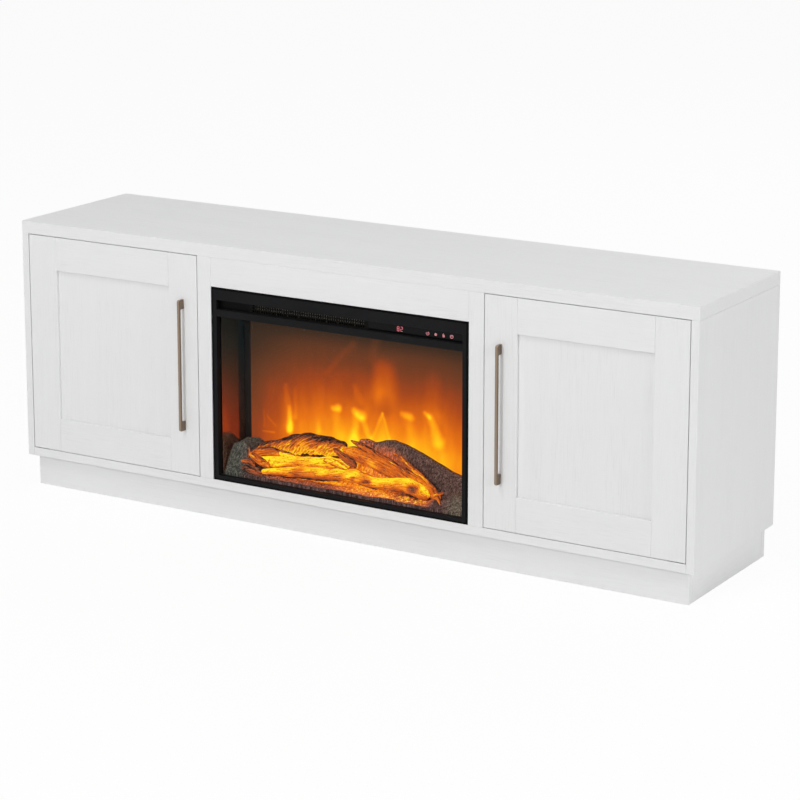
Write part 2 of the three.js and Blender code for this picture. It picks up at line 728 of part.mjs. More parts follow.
// Heights of the bed's crest along its width: shares of the half width and of the log set.
const bedCrestShares = [
  [-1, 0.24], [-0.95, 0.52], [-0.84, 0.66], [-0.74, 0.56], [-0.6, 0.5], [-0.3, 0.56],
  [-0.02, 0.6], [0.02, 0.88], [0.15, 0.93], [0.29, 1], [0.38, 0.98], [0.51, 0.87],
  [0.66, 0.72], [0.76, 0.62], [0.86, 0.55], [1, 0.48],
];

function crestHeight(x) {
  const share = x / bedHalfWidth;
  const after = Math.max(1, bedCrestShares.findIndex(([place]) => place >= share));
  const [x0, h0] = bedCrestShares[after - 1];
  const [x1, h1] = bedCrestShares[after];
  return (h0 + ((share - x0) / (x1 - x0)) * (h1 - h0)) * logSetHeight;
}

// The bed rises from its front edge to its crest and drops a little behind it.
function bedHeight(x, depthShare) {
  const crest = crestHeight(x);
  const climb = Math.min(1, depthShare / bedCrestShare) ** bedRise;
  const drop = Math.max(0, depthShare - bedCrestShare);
  return bedFrontHeight + (crest - bedFrontHeight) * (climb - drop);
}

function emberBedBody() {
  const points = [];
  const triangles = [];
  const place = (column, row, layer) => (layer * (bedRows + 1) + row) * (bedColumns + 1) + column;
  for (const layer of [0, 1]) {
    for (let row = 0; row <= bedRows; row += 1) {
      for (let column = 0; column <= bedColumns; column += 1) {
        const x = bedHalfWidth * (2 * column / bedColumns - 1);
        const rise = layer === 0 ? -cutOverrun : bedHeight(x, row / bedRows);
        points.push([x, linerFront + bedDepth * row / bedRows, bedFloor + rise]);
      }
    }
  }
  const quad = (a, b, c, d) => triangles.push([a, b, c], [a, c, d]);
  for (let row = 0; row < bedRows; row += 1) {
    for (let column = 0; column < bedColumns; column += 1) {
      const corners = [[0, 0], [1, 0], [1, 1], [0, 1]];
      const at = (layer) => corners.map(([i, j]) => place(column + i, row + j, layer));
      quad(...at(1));
      quad(...at(0).reverse());
    }
    quad(place(0, row, 0), place(0, row, 1), place(0, row + 1, 1), place(0, row + 1, 0));
    quad(place(bedColumns, row, 1), place(bedColumns, row, 0),
      place(bedColumns, row + 1, 0), place(bedColumns, row + 1, 1));
  }
  for (let column = 0; column < bedColumns; column += 1) {
    quad(place(column, 0, 0), place(column + 1, 0, 0),
      place(column + 1, 0, 1), place(column, 0, 1));
    quad(place(column + 1, bedRows, 0), place(column, bedRows, 0),
      place(column, bedRows, 1), place(column + 1, bedRows, 1));
  }
  const below = slab([-windowHalfWidth, windowHalfWidth], [0, screenSetback],
    [bedFloor - 2 * cutOverrun, bedFloor]);
  return cut(fromPoints(points, triangles), below);
}

function buildLogSet(insert) {
  const body = (name, grow = 0) => logBody(logShares[name], grow);
  const others = (...names) => names.map((name) => body(name, seatGap));
  addPart(insert, "front_log", body("front_log"), "ember");
  addPart(insert, "middle_log", cut(body("middle_log"), ...others("front_log")), "ember");
  addPart(insert, "left_log", cut(body("left_log"), ...others("middle_log")), "bark");
  const right = cut(body("right_log"), ...others("front_log", "middle_log", "left_log"));
  addPart(insert, "right_log", right, "bark");
  const bed = cut(emberBedBody(), ...others(...Object.keys(logShares)));
  addPart(insert, "ember_bed", bed, "charcoal");
}

function buildFlameDrive(insert) {
  const centre = [rotorSetback, rotorHeight];
  const motorStart = seatGap - windowHalfWidth;
  const motorEnd = motorStart + motorLength;
  const motor = rod("x", motorStart, motorEnd, centre, motorDiameter, motorSides);
  addPart(insert, "rotor_motor", motor, "steel");

  const shaftStart = motorEnd + bearingClearance;
  const shaftEnd = linerOuterHalfWidth + seatGap;
  const shaft = rod("x", shaftStart, shaftEnd, centre, rotorShaftDiameter, rotorShaftSides);
  const room = windowHalfWidth - shaftStart - rotorPaddleLength;
  const paddles = [];
  for (let paddle = 0; paddle < rotorPaddleCount; paddle += 1) {
    const x = shaftStart + rotorPaddleLength / 2 + room * paddle / (rotorPaddleCount - 1);
    const xs = [-rotorPaddleLength / 2, rotorPaddleLength / 2];
    const half = rotorPaddleThickness / 2;
    const plate = slab(xs, [-rotorRadius, rotorRadius], [-half, half]);
    plate.rotateX(paddle * Math.PI * 2 / rotorPaddleCount);
    paddles.push(plate.translate(x, ...centre));
  }
  addPart(insert, "flame_rotor", join(shaft, ...paddles), "steel");

  const boardFront = screenSetback + screenThickness + ledBoardSetback;
  const boardY = [boardFront, boardFront + ledBoardWidth];
  const boardTop = bedFloor + ledBoardThickness;
  const boardHalf = bedHalfWidth - motorLength;
  const board = slab([-boardHalf, boardHalf], boardY, [bedFloor, boardTop]);
  const leds = [];
  for (let led = 0; led < ledCount; led += 1) {
    const x = boardHalf * (2 * (led + 1) / (ledCount + 1) - 1);
    const y = boardFront + ledBoardWidth / 2;
    const xs = [x - ledSize / 2, x + ledSize / 2];
    const ys = [y - ledSize / 2, y + ledSize / 2];
    leds.push(slab(xs, ys, [boardTop - ledBoardThickness / 2, boardTop + ledHeight]));
  }
  addPart(insert, "led_board", join(board, ...leds), "whitePlastic");
}

function buildHeater(insert) {
  const casingRadius = wheelRadius + blowerClearance;
  const outerRadius = casingRadius + blowerSheet;
  const axisZ = partitionHigh + seatGap + outerRadius;
  const centre = [wheelSetback, axisZ];
  const half = wheelLength / 2;
  const middle = wheelMiddle;

  const blades = [];
  const bladeHalf = half - wheelDiscThickness / 2;
  const bladeTip = wheelRadius - wheelBladeInset;
  for (let blade = 0; blade < wheelBladeCount; blade += 1) {
    const ys = [-wheelBladeThickness / 2, wheelBladeThickness / 2];
    const plate = slab([-bladeHalf, bladeHalf], ys, [bladeTip - wheelBladeDepth, bladeTip]);
    plate.rotateX(blade * 2 * Math.PI / wheelBladeCount);
    blades.push(plate.translate(middle, ...centre));
  }
  const disc = (x) => rod("x", middle + x, middle + x + wheelDiscThickness, centre,
    2 * wheelRadius, wheelSides);
  const discs = [-half, -wheelDiscThickness / 2, half - wheelDiscThickness].map(disc);
  const reach = half + blowerEndGap + blowerSheet + seatGap;
  const stub = (from, to) => rod("x", middle + from, middle + to, centre,
    wheelShaftDiameter, rotorShaftSides);
  const stubs = [stub(-reach, wheelShaftReach - half), stub(half - wheelShaftReach, reach)];
  addPart(insert, "blower_wheel", join(...discs, ...blades, ...stubs), "blackPlastic");

  const casingFront = plateY + Math.max(grilleThickness, panelThickness) + seatGap;
  const wrap = THREE.MathUtils.degToRad(blowerWrapDegrees);
  const guide = new THREE.Shape();
  guide.moveTo(casingFront, axisZ - outerRadius);
  guide.lineTo(wheelSetback, axisZ - outerRadius);
  guide.absarc(wheelSetback, axisZ, outerRadius, -Math.PI / 2, wrap, false);
  guide.absarc(wheelSetback, axisZ, casingRadius, wrap, -Math.PI / 2, true);
  guide.lineTo(casingFront, axisZ - casingRadius);
  guide.closePath();
  const guideOutline = new THREE.Shape(guide.extractPoints(blowerArcSteps).shape);
  const ends = [middle - half - blowerEndGap, middle + half + blowerEndGap];
  const lap = blowerSheet / 2;
  const span = [ends[0] - lap, ends[1] + lap];
  const curved = extrudeAlongX(guideOutline, ...span);
  const tongueZ = axisZ + casingRadius * blowerTongueShare;
  const tongueY = [casingFront, wheelSetback - casingRadius];
  const tongue = slab(span, tongueY, [tongueZ, tongueZ + blowerSheet]);
  const endPlate = (x, way) => slab([x, x + way * blowerSheet],
    [casingFront, wheelSetback + outerRadius], [axisZ - outerRadius, axisZ + outerRadius]);
  const shaftHole = rod("x", ends[0] - cutOverrun, ends[1] + cutOverrun, centre,
    wheelShaftDiameter + 2 * bearingClearance, rotorShaftSides);
  const casing = cut(join(curved, tongue, endPlate(ends[0], -1), endPlate(ends[1], 1)), shaftHole);
  addPart(insert, "blower_casing", casing, "blackSteel");

  const motorEnd = middle - reach - seatGap;
  const motorZ = Math.max(axisZ, partitionHigh + seatGap + blowerMotorDiameter / 2);
  const motor = rod("x", motorEnd - blowerMotorLength, motorEnd, [wheelSetback, motorZ],
    blowerMotorDiameter, motorSides);
  addPart(insert, "blower_motor", motor, "steel");

  const elementFront = casingFront + heaterSetback;
  const elementY = [elementFront, elementFront + heaterDepth];
  const elementZ = [axisZ - casingRadius + seatGap, tongueZ - seatGap];
  const elementHalf = half - seatGap;
  const elementHeight = elementZ[1] - elementZ[0];
  const coreHalf = elementHeight * heaterCoreShare / 2;
  const coreZ = (elementZ[0] + elementZ[1]) / 2;
  const elementX = [middle - elementHalf, middle + elementHalf];
  const core = slab(elementX, elementY, [coreZ - coreHalf, coreZ + coreHalf]);
  const fins = [];
  for (let fin = 0; fin < heaterFins; fin += 1) {
    const x = elementX[0] + (2 * elementHalf - heaterFinThickness) * fin / (heaterFins - 1);
    fins.push(slab([x, x + heaterFinThickness], elementY, elementZ));
  }
  addPart(insert, "heating_element", join(core, ...fins), "steel");
}

// Parts on the circuit board: shares of its length and width where each stands, and its
// length, width and height.
const boardComponentShares = [
  [0.14, 0.5, 0.2, 0.42, 0.26], [0.38, 0.3, 0.09, 0.2, 0.16], [0.5, 0.3, 0.09, 0.2, 0.16],
  [0.66, 0.6, 0.12, 0.26, 0.2], [0.84, 0.4, 0.08, 0.6, 0.1],
];

function buildElectrics(insert) {
  const right = caseInnerHalfWidth - boardRightMargin;
  const left = right - boardLength;
  const front = caseDepth - boardBackGap - boardWidth;
  const low = partitionHigh + seatGap;
  const boardLow = low + boardStandoff;
  const boardHigh = boardLow + boardThickness;
  const board = slab([left, right], [front, front + boardWidth], [boardLow, boardHigh]);
  const inset = boardStandoffSize;
  const standoffs = [];
  for (const x of [left + inset, right - inset]) {
    for (const y of [front + inset, front + boardWidth - inset]) {
      const xs = [x - inset / 2, x + inset / 2];
      const ys = [y - inset / 2, y + inset / 2];
      standoffs.push(slab(xs, ys, [low, boardLow + boardThickness / 2]));
    }
  }
  const components = boardComponentShares.map(([along, across, long, wide, tall]) => {
    const x = left + along * boardLength;
    const y = front + across * boardWidth;
    const [a, b] = [long * boardLength / 2, wide * boardWidth / 2];
    const zs = [boardLow + boardThickness / 2, boardHigh + tall * boardWidth];
    return slab([x - a, x + a], [y - b, y + b], zs);
  });
  addPart(insert, "control_board", join(board, ...standoffs, ...components), "circuitGreen");
}

// The brackets fill the room between the insert's case and the dividers.
function buildBrackets(insert) {
  const near = caseHalfWidth + jointGap;
  const far = bayStart - dividerThickness - jointGap;
  const ys = [bracketSetback, bracketSetback + bracketDepth];
  const zs = [bracketRise, bracketRise + bracketHeight];
  for (const [label, side] of sides) {
    const block = slab([side * near, side * far], ys, zs);
    const hollowX = [side * (near + bracketSheet), side * (far - bracketSheet)];
    const hollowY = [ys[0] + bracketSheet, ys[1] + cutOverrun];
    const hollow = slab(hollowX, hollowY, [zs[0] - cutOverrun, zs[1] + cutOverrun]);
    addPart(insert, `insert_${label}_bracket`, cut(block, hollow), "steel");
  }
}

function buildInsert() {
  const insert = new THREE.Group();
  insert.position.set(0, frontY, floorTop + jointGap);
  buildFrame(insert);
  buildStrip(insert);
  buildCase(insert);
  buildLogSet(insert);
  buildFlameDrive(insert);
  buildHeater(insert);
  buildElectrics(insert);
  buildBrackets(insert);
  return insert;
}

const stand = new THREE.Group();
stand.add(buildCarcass(), buildPlinth(), buildFascia(), buildInsert());
for (const [label, side] of sides) stand.add(buildDoor(label, side));

export default stand;
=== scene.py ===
"""Looks of a fireplace tv stand: white pressed woodgrain, bronze handles, an electric log fire."""

import math

import bmesh
import bpy
import numpy as np
from mathutils import Euler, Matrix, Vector, noise


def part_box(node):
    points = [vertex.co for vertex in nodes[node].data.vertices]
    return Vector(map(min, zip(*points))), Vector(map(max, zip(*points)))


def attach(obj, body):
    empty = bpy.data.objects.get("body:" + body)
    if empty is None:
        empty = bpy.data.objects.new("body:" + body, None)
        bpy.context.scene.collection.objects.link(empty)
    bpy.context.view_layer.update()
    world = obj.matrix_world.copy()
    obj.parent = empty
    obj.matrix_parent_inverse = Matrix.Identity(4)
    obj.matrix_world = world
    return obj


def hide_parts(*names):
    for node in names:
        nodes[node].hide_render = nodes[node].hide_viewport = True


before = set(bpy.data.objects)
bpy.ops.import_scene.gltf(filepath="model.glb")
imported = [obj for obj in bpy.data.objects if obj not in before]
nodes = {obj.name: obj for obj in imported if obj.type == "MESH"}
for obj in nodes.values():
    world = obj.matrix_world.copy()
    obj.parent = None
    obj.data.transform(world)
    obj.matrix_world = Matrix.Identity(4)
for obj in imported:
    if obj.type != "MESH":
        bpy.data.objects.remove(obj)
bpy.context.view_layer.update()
mm = 0.001

# Camera

CAMERA_PLACE = (3.1248, -5.0653, 1.8622)
CAMERA_YAW = 31.29
CAMERA_PITCH = 12.21
CAMERA_LENS = 123.4
CAMERA_SENSOR = 36
CAMERA_SHIFT_Y = -0.16
CAMERA_REACH = 50


def add_camera():
    data = bpy.data.cameras.new("camera")
    data.lens = CAMERA_LENS
    data.sensor_width = CAMERA_SENSOR
    data.shift_y = CAMERA_SHIFT_Y
    data.clip_end = CAMERA_REACH
    camera = bpy.data.objects.new("camera", data)
    camera.location = CAMERA_PLACE
    tilt = math.radians(90 - CAMERA_PITCH)
    camera.rotation_euler = Euler((tilt, 0, math.radians(CAMERA_YAW)))
    bpy.context.collection.objects.link(camera)
    bpy.context.scene.camera = camera


add_camera()

# Shader nodes

# Shift of the pattern on each object: a random share of these lengths along x, y and z.
VARY_SHIFTS = (31.7, 49.0, 66.3)


class Shader:
    """A material with a principled surface, and short calls that add nodes to it."""

    def __init__(self, name, **surface):
        self.material = bpy.data.materials.new(name)
        self.material.use_nodes = True
        self.tree = self.material.node_tree
        self.tree.nodes.clear()
        self.output = self.node("OutputMaterial")
        self.surface = self.node("BsdfPrincipled")
        self.join(self.surface.outputs[0], self.output.inputs["Surface"])
        self.set(**surface)

    def node(self, kind, **settings):
        made = self.tree.nodes.new("ShaderNode" + kind)
        for key, value in settings.items():
            setattr(made, key, value)
        return made

    def join(self, source, target):
        if hasattr(source, "is_linked"):
            self.tree.links.new(source, target)
        else:
            target.default_value = source

    def set(self, **surface):
        """Sets sockets of the surface by name, with a value or with another node's output."""
        for key, value in surface.items():
            target = self.surface.inputs[key.replace("_", " ")]
            if isinstance(value, tuple) and len(value) == 3 and target.type == "RGBA":
                value = (*value, 1)
            self.join(value, target)

    def place(self, scale=(1, 1, 1), vary=False):
        """Object coordinates in metres, times a scale. With vary, each object is shifted."""
        coords = self.node("TexCoord").outputs["Object"]
        mapping = self.node("Mapping")
        self.join(coords, mapping.inputs["Vector"])
        mapping.inputs["Scale"].default_value = scale
        if vary:
            seed = self.node("ObjectInfo").outputs["Random"]
            shift = self.node("CombineXYZ")
            for axis, length in enumerate(VARY_SHIFTS):
                self.join(self.math("MULTIPLY", seed, length), shift.inputs[axis])
            self.join(shift.outputs[0], mapping.inputs["Location"])
        return mapping.outputs[0]

    def noise(self, vector, scale, detail=2.0, roughness=0.5, distortion=0.0):
        made = self.node("TexNoise")
        self.join(vector, made.inputs["Vector"])
        made.inputs["Scale"].default_value = scale
        made.inputs["Detail"].default_value = detail
        made.inputs["Roughness"].default_value = roughness
        made.inputs["Distortion"].default_value = distortion
        return made.outputs[0]

    def math(self, operation, first, second=0.0):
        made = self.node("Math", operation=operation)
        self.join(first, made.inputs[0])
        self.join(second, made.inputs[1])
        return made.outputs[0]

    def blend(self, first, share, second):
        """A weighted mean of two values."""
        rest = self.math("MULTIPLY", second, 1 - share)
        return self.math("ADD", self.math("MULTIPLY", first, share), rest)

    def spread(self, value, low, high, to_low=0.0, to_high=1.0):
        """Maps a range of a value onto another range, and clamps it there."""
        made = self.node("MapRange")
        for socket, given in enumerate((value, low, high, to_low, to_high)):
            self.join(given, made.inputs[socket])
        return made.outputs[0]

    def ramp(self, value, stops):
        made = self.node("ValToRGB")
        self.join(value, made.inputs[0])
        elements = made.color_ramp.elements
        while len(elements) < len(stops):
            elements.new(0.5)
        for element, (position, color) in zip(elements, stops):
            element.position = position
            element.color = (*color, 1)
        return made.outputs[0]

    def mix(self, factor, first, second):
        made = self.node("Mix", data_type="RGBA")
        self.join(factor, made.inputs["Factor"])
        for socket, value in ((6, first), (7, second)):
            self.join((*value, 1) if isinstance(value, tuple) else value, made.inputs[socket])
        return made.outputs[2]

    def bump(self, height, distance, strength=1.0):
        made = self.node("Bump")
        made.inputs["Distance"].default_value = distance
        made.inputs["Strength"].default_value = strength
        self.join(height, made.inputs["Height"])
        self.set(Normal=made.outputs[0])


# Cabinet materials

# A pattern's scale along its grain, as a share of the scale across it.
PORE_STRETCH = 0.03
TONE_STRETCH = 0.12
BRUSH_STRETCH = 0.02
GRAIN_DEPTH = 0.28 * mm
BRUSH_DEPTH = 0.05 * mm


def stretched(along, share):
    """Scales along x, y and z of a pattern that is drawn out along one of them."""
    return tuple(share if axis == along else 1 for axis in "xyz")


def woodgrain(along):
    """White foil pressed with a wood grain that runs along one axis."""
    shader = Shader(f"white_woodgrain_{along}")
    soft = stretched(along, TONE_STRETCH)
    fine = shader.place(stretched(along, PORE_STRETCH), vary=True)
    tone = shader.noise(shader.place(soft, vary=True), 9, 3, 0.55)
    clusters = shader.noise(shader.place(soft, vary=True), 22, 2)
    pores = shader.spread(shader.noise(fine, 620, 3, 0.62), 0.5, 0.68)
    pores = shader.math("MULTIPLY", pores, shader.spread(clusters, 0.36, 0.6, 0.25, 1.0))
    streaks = shader.noise(fine, 150, 4, 0.6, 0.4)
    depth = shader.blend(pores, 0.55, streaks)
    shade = shader.blend(depth, 0.62, tone)
    color = shader.ramp(shade, [(0.2, (0.852, 0.853, 0.856)), (0.55, (0.815, 0.816, 0.818)),
                                (0.85, (0.76, 0.76, 0.76))])
    shader.set(Base_Color=color, Roughness=shader.spread(depth, 0.1, 0.8, 0.46, 0.66))
    shader.set(Specular_IOR_Level=0.35)
    shader.bump(shader.math("SUBTRACT", 1.0, depth), GRAIN_DEPTH, 0.55)
    return shader.material


def metal(name, color, roughness, along="z", wear=0.12, sides=1.0):
    """Brushed metal with fine lines along one axis. Its faces towards +x or -x can be painted
    darker, as shade on the sides.
    """
    shader = Shader(name, Metallic=1.0)
    lines = shader.noise(shader.place(stretched(along, BRUSH_STRETCH)), 1800, 2)
    patches = shader.noise(shader.place(), 40, 3)
    darker = tuple(channel * (1 - wear) for channel in color)
    both = shader.blend(lines, 0.6, patches)
    tone = shader.mix(shader.spread(both, 0.35, 0.65), color, darker)
    # Painted shade: faces towards +x or -x get the colour times sides, darker than the front.
    if sides < 1:
        normal = shader.node("SeparateXYZ")
        shader.join(shader.node("TexCoord").outputs["Normal"], normal.inputs[0])
        aside = shader.spread(shader.math("ABSOLUTE", normal.outputs["X"]), 0.3, 0.9)
        tone = shader.mix(aside, tone, tuple(channel * sides for channel in color))
    shader.set(Base_Color=tone)
    shader.set(Roughness=shader.spread(both, 0.3, 0.7, roughness - 0.06, roughness + 0.08))
    shader.bump(lines, BRUSH_DEPTH, 0.4)
    return shader.material


def plastic(name, color, roughness, grain=900, height=0.05, gloss=0.5):
    """Moulded or powder coated surface with a fine orange peel."""
    shader = Shader(name)
    peel = shader.noise(shader.place(), grain, 2)
    haze = shader.noise(shader.place(), 25, 3)
    lighter = tuple(channel * 1.3 + 0.001 for channel in color)
    shader.set(Base_Color=shader.mix(shader.spread(haze, 0.35, 0.7), color, lighter))
    shader.set(Roughness=shader.spread(haze, 0.3, 0.7, roughness - 0.05, roughness + 0.07))
    shader.bump(peel, height * mm, 0.5)
    shader.set(Specular_IOR_Level=gloss)
    return shader.material


white = {axis: woodgrain(axis) for axis in "xyz"}
# The handles' faces towards +x or -x are painted darker, as shade on their sides.
bronze = metal("bronze", (0.315, 0.238, 0.178), 0.34, sides=0.68)
steel = metal("zinc_steel", (0.52, 0.53, 0.54), 0.32, along="x")
aluminium = metal("aluminium", (0.7, 0.7, 0.7), 0.28, along="x")
heater_metal = metal("heater_metal", (0.2, 0.185, 0.16), 0.42, along="x")
black_steel = plastic("black_powder_coat", (0.0125, 0.013, 0.014), 0.42, gloss=0.15)
black_plastic = plastic("black_plastic", (0.012, 0.012, 0.012), 0.5)
white_plastic = plastic("white_plastic", (0.74, 0.74, 0.72), 0.4)
circuit_green = plastic("circuit_board", (0.02, 0.16, 0.07), 0.35)

GRAIN_AXES = {
    "x": ("top_panel", "bottom_panel", "left_shelf", "right_shelf", "plinth_front_rail",
          "plinth_back_rail", "fascia_top_rail", "left_door_top_rail", "left_door_bottom_rail",
          "right_door_top_rail", "right_door_bottom_rail"),
    "y": ("plinth_left_rail", "plinth_right_rail", "plinth_center_rail"),
    "z": ("left_side_panel", "right_side_panel", "left_divider", "right_divider", "back_panel",
          "fascia_left_stile", "fascia_right_stile", "left_door_hinge_stile",
          "left_door_handle_stile", "left_door_panel", "right_door_hinge_stile",
          "right_door_handle_stile", "right_door_panel"),
}


def dress(material, *names):
    for name in names:
        for slot in nodes[name].material_slots:
            slot.material = material


for axis, names in GRAIN_AXES.items():
    dress(white[axis], *names)
dress(bronze, "left_door_handle", "right_door_handle")
dress(steel, *(name for name in nodes if "pivot" in name or "strike" in name or "bracket" in name))
dress(steel, "rotor_motor", "blower_motor")
dress(aluminium, "flame_rotor")
dress(heater_metal, "heating_element")
dress(black_plastic, "blower_wheel", "cord_gland")
dress(white_plastic, "left_magnetic_catch", "right_magnetic_catch", "led_board")
dress(circuit_green, "control_board")
dress(black_steel, "insert_housing", "blower_casing")

# Fire insert: frame, grille, panel, glass and liner

# Width of the band of painted shade along the frame's outer edge, where the gap round it is.
GAP_SHADE_WIDTH = 4.3 * mm
# Where the pierced part of the grille starts, as a share of its length.
PIERCED_START = 0.215
PIERCED_BLUR = 4 * mm
# Painted shade: the fire's painted glow on the liner fades from the first height on, and is gone
# from the second.
GLOW_FADE_HEIGHTS = (205 * mm, 385 * mm)


def dress_frame():
    """Satin black frame, with painted shade of the gap round it as a darker band along its outer
    edge.
    """
    low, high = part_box("insert_front_frame")
    shader = Shader("insert_frame")
    place = shader.node("SeparateXYZ")
    shader.join(shader.node("TexCoord").outputs["Object"], place.inputs[0])
    across = shader.math("ABSOLUTE", place.outputs["X"])
    middle = (low[2] + high[2]) / 2
    upright = shader.math("ABSOLUTE", shader.math("SUBTRACT", place.outputs["Z"], middle))
    in_side = shader.math("GREATER_THAN", across, high[0] - GAP_SHADE_WIDTH)
    in_end = shader.math("GREATER_THAN", upright, (high[2] - low[2]) / 2 - GAP_SHADE_WIDTH)
    # Painted shade: a near black band along the outer edge stands in for the gap round the frame.
    gap_shade = shader.math("MAXIMUM", in_side, in_end)
    haze = shader.noise(shader.place(), 18, 3)
    face = shader.ramp(haze, [(0.3, (0.0095, 0.0097, 0.0104)), (0.7, (0.0120, 0.0122, 0.0131))])
    shader.set(Base_Color=shader.mix(gap_shade, face, (0.002, 0.002, 0.002)))
    shader.set(Roughness=shader.spread(haze, 0.3, 0.7, 0.38, 0.48))
    shader.set(Specular_IOR_Level=0.05)
    shader.bump(shader.noise(shader.place(), 1100, 2), 0.04 * mm, 0.5)
    dress(shader.material, "insert_front_frame")


def dress_grille():
    """Plain part painted near black as shade of its recess; pierced part a speckled dull bronze
    grey.
    """
    shader = Shader("vent_grille")
    low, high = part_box("vent_grille")
    place = shader.node("SeparateXYZ")
    shader.join(shader.node("TexCoord").outputs["Object"], place.inputs[0])
    start = low[0] + (high[0] - low[0]) * PIERCED_START
    pierced = shader.spread(place.outputs["X"], start - PIERCED_BLUR, start + PIERCED_BLUR)
    speckle = shader.noise(shader.place(), 260, 3, 0.7)
    mesh_color = shader.ramp(speckle, [(0.35, (0.002, 0.0019, 0.0018)),
                                       (0.65, (0.012, 0.011, 0.009))])
    # Painted shade: the plain part is near black, as the shade of the recess it lies in.
    shader.set(Base_Color=shader.mix(pierced, (0.003, 0.003, 0.0032), mesh_color))
    shader.set(Roughness=shader.spread(speckle, 0.3, 0.7, 0.35, 0.55))
    shader.set(Specular_IOR_Level=0.06)
    shader.bump(speckle, 0.1 * mm, 0.4)
    dress(shader.material, "vent_grille")


def dress_glass():
    """Nearly clear pane. More gloss would only put specks on the dark parts behind it."""
    shader = Shader("smoked_glass", Base_Color=(0.002, 0.002, 0.002), Alpha=0.06,
                    Specular_IOR_Level=0.04)
    haze = shader.noise(shader.place(), 14, 3)
    shader.set(Roughness=shader.spread(haze, 0.3, 0.7, 0.015, 0.06))
    dress(shader.material, "glass_pane")


def dress_liner():
    """Polished sheet, which mirrors the flames softly, with the fire's glow painted warm low down
    and painted shade darker towards the top.
    """
    shader = Shader("polished_liner", Metallic=0.92)
    haze = shader.noise(shader.place(), 30, 3)
    # Painted light: a warm copper colour low down stands in for the fire's glow on the liner.
    fire_glow_color = shader.ramp(haze, [(0.3, (0.58, 0.33, 0.25)), (0.7, (0.70, 0.41, 0.31))])
    place = shader.node("SeparateXYZ")
    shader.join(shader.node("TexCoord").outputs["Object"], place.inputs[0])
    # Painted shade: the warm glow fades to a cool dark grey towards the top.
    glow_fade = shader.spread(place.outputs["Z"], *GLOW_FADE_HEIGHTS)
    shader.set(Base_Color=shader.mix(glow_fade, fire_glow_color, (0.22, 0.34, 0.38)))
    shader.set(Roughness=shader.spread(haze, 0.3, 0.7, 0.10, 0.17))
    dress(shader.material, "firebox_liner")


dress_frame()
dress_grille()
dress_glass()
dress_liner()
dress(plastic("control_panel_gloss", (0.002, 0.002, 0.0025), 0.16, grain=300, height=0.02,
              gloss=0.12), "control_panel")
dress(plastic("screen_edge", (0.022, 0.019, 0.017), 0.55, gloss=0.2), "flame_screen")

# Mesh helpers


def add_mesh(name, points, faces, material, smooth=False):
    """A new piece of the cabinet's body."""
    mesh = bpy.data.meshes.new(name)
    mesh.from_pydata([tuple(point) for point in points], [], [tuple(face) for face in faces])
    mesh.materials.append(material)
    mesh.polygons.foreach_set("use_smooth", [smooth] * len(mesh.polygons))
    mesh.update()
    piece = bpy.data.objects.new(name, mesh)
    bpy.context.collection.objects.link(piece)
    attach(piece, "cabinet")
    return piece


def paint(piece, layer, colors):
    """Stores one colour per vertex, as plain linear values."""
    values = np.ones((len(piece.data.vertices), 4), dtype=np.float32)
    values[:, :3] = colors
    attribute = piece.data.color_attributes.new(layer, "FLOAT_COLOR", "POINT")
    attribute.data.foreach_set("color", values.ravel())


def grid_faces(columns, rows, wrap=False):
    """Quads of a grid of points, stored row by row. With wrap the last column meets the first."""
    faces = []
    for row in range(rows - 1):
        for column in range(columns if wrap else columns - 1):
            after = (column + 1) % columns
            faces.append((row * columns + column, row * columns + after,
                          (row + 1) * columns + after, (row + 1) * columns + column))
    return faces


def smooth_step(value, low, high):
    share = np.clip((value - low) / (high - low), 0, 1)
    return share * share * (3 - 2 * share)


def fractal(points, scale, octaves=4, shift=(0, 0, 0)):
    """Seedless fractal noise, about -1 to 1, at an array of points."""
    move = Vector(shift)
    return np.array([noise.fractal(Vector(p) * scale + move, 0.9, 2.0, octaves) for p in points])


# Colours of fire

# From grey brown smoke, by way of red and orange, to bright yellow: heat, then its colour.
HEATS = (0, 0.1, 0.2, 0.3, 0.4, 0.5, 0.6, 0.7, 0.78, 0.86, 0.93, 1)
HEAT_REDS = (0.028, 0.060, 0.140, 0.235, 0.38, 0.54, 0.72, 0.93, 1.08, 1.15, 1.20, 1.20)
HEAT_GREENS = (0.020, 0.032, 0.048, 0.057, 0.068, 0.091, 0.135, 0.200, 0.31, 0.46, 0.66, 0.90)
HEAT_BLUES = (0.014, 0.019, 0.021, 0.019, 0.015, 0.011, 0.009, 0.008, 0.008, 0.009, 0.012, 0.02)


def heat_color(heat):
    bands = (HEAT_REDS, HEAT_GREENS, HEAT_BLUES)
    return np.stack([np.interp(heat, HEATS, band) for band in bands], axis=-1)


# Flame picture on the screen

SCREEN_EDGE = 17 * mm
PICTURE_STEP = 2 * mm
PICTURE_GAP = 0.25 * mm
# How far the flames sway from their straight beams, in millimetres.
FLAME_SWAY = 5

# Heat of the glow behind the flames, by height above the floor in millimetres.
GLOW_HEIGHTS = (150, 190, 205, 230, 260, 290, 320, 350, 380, 410, 440, 480)
GLOW_HEATS = (0.86, 0.86, 0.85, 0.78, 0.69, 0.59, 0.47, 0.37, 0.27, 0.2, 0.09, 0.0)
# How much of it is left along the width: x in millimetres, share.
GLOW_PLACES = (-320, -280, -230, -181, -130, -74, 185, 236, 300)
GLOW_SHARES = (0.36, 0.47, 0.66, 0.85, 0.93, 1, 1, 0.9, 0.86)

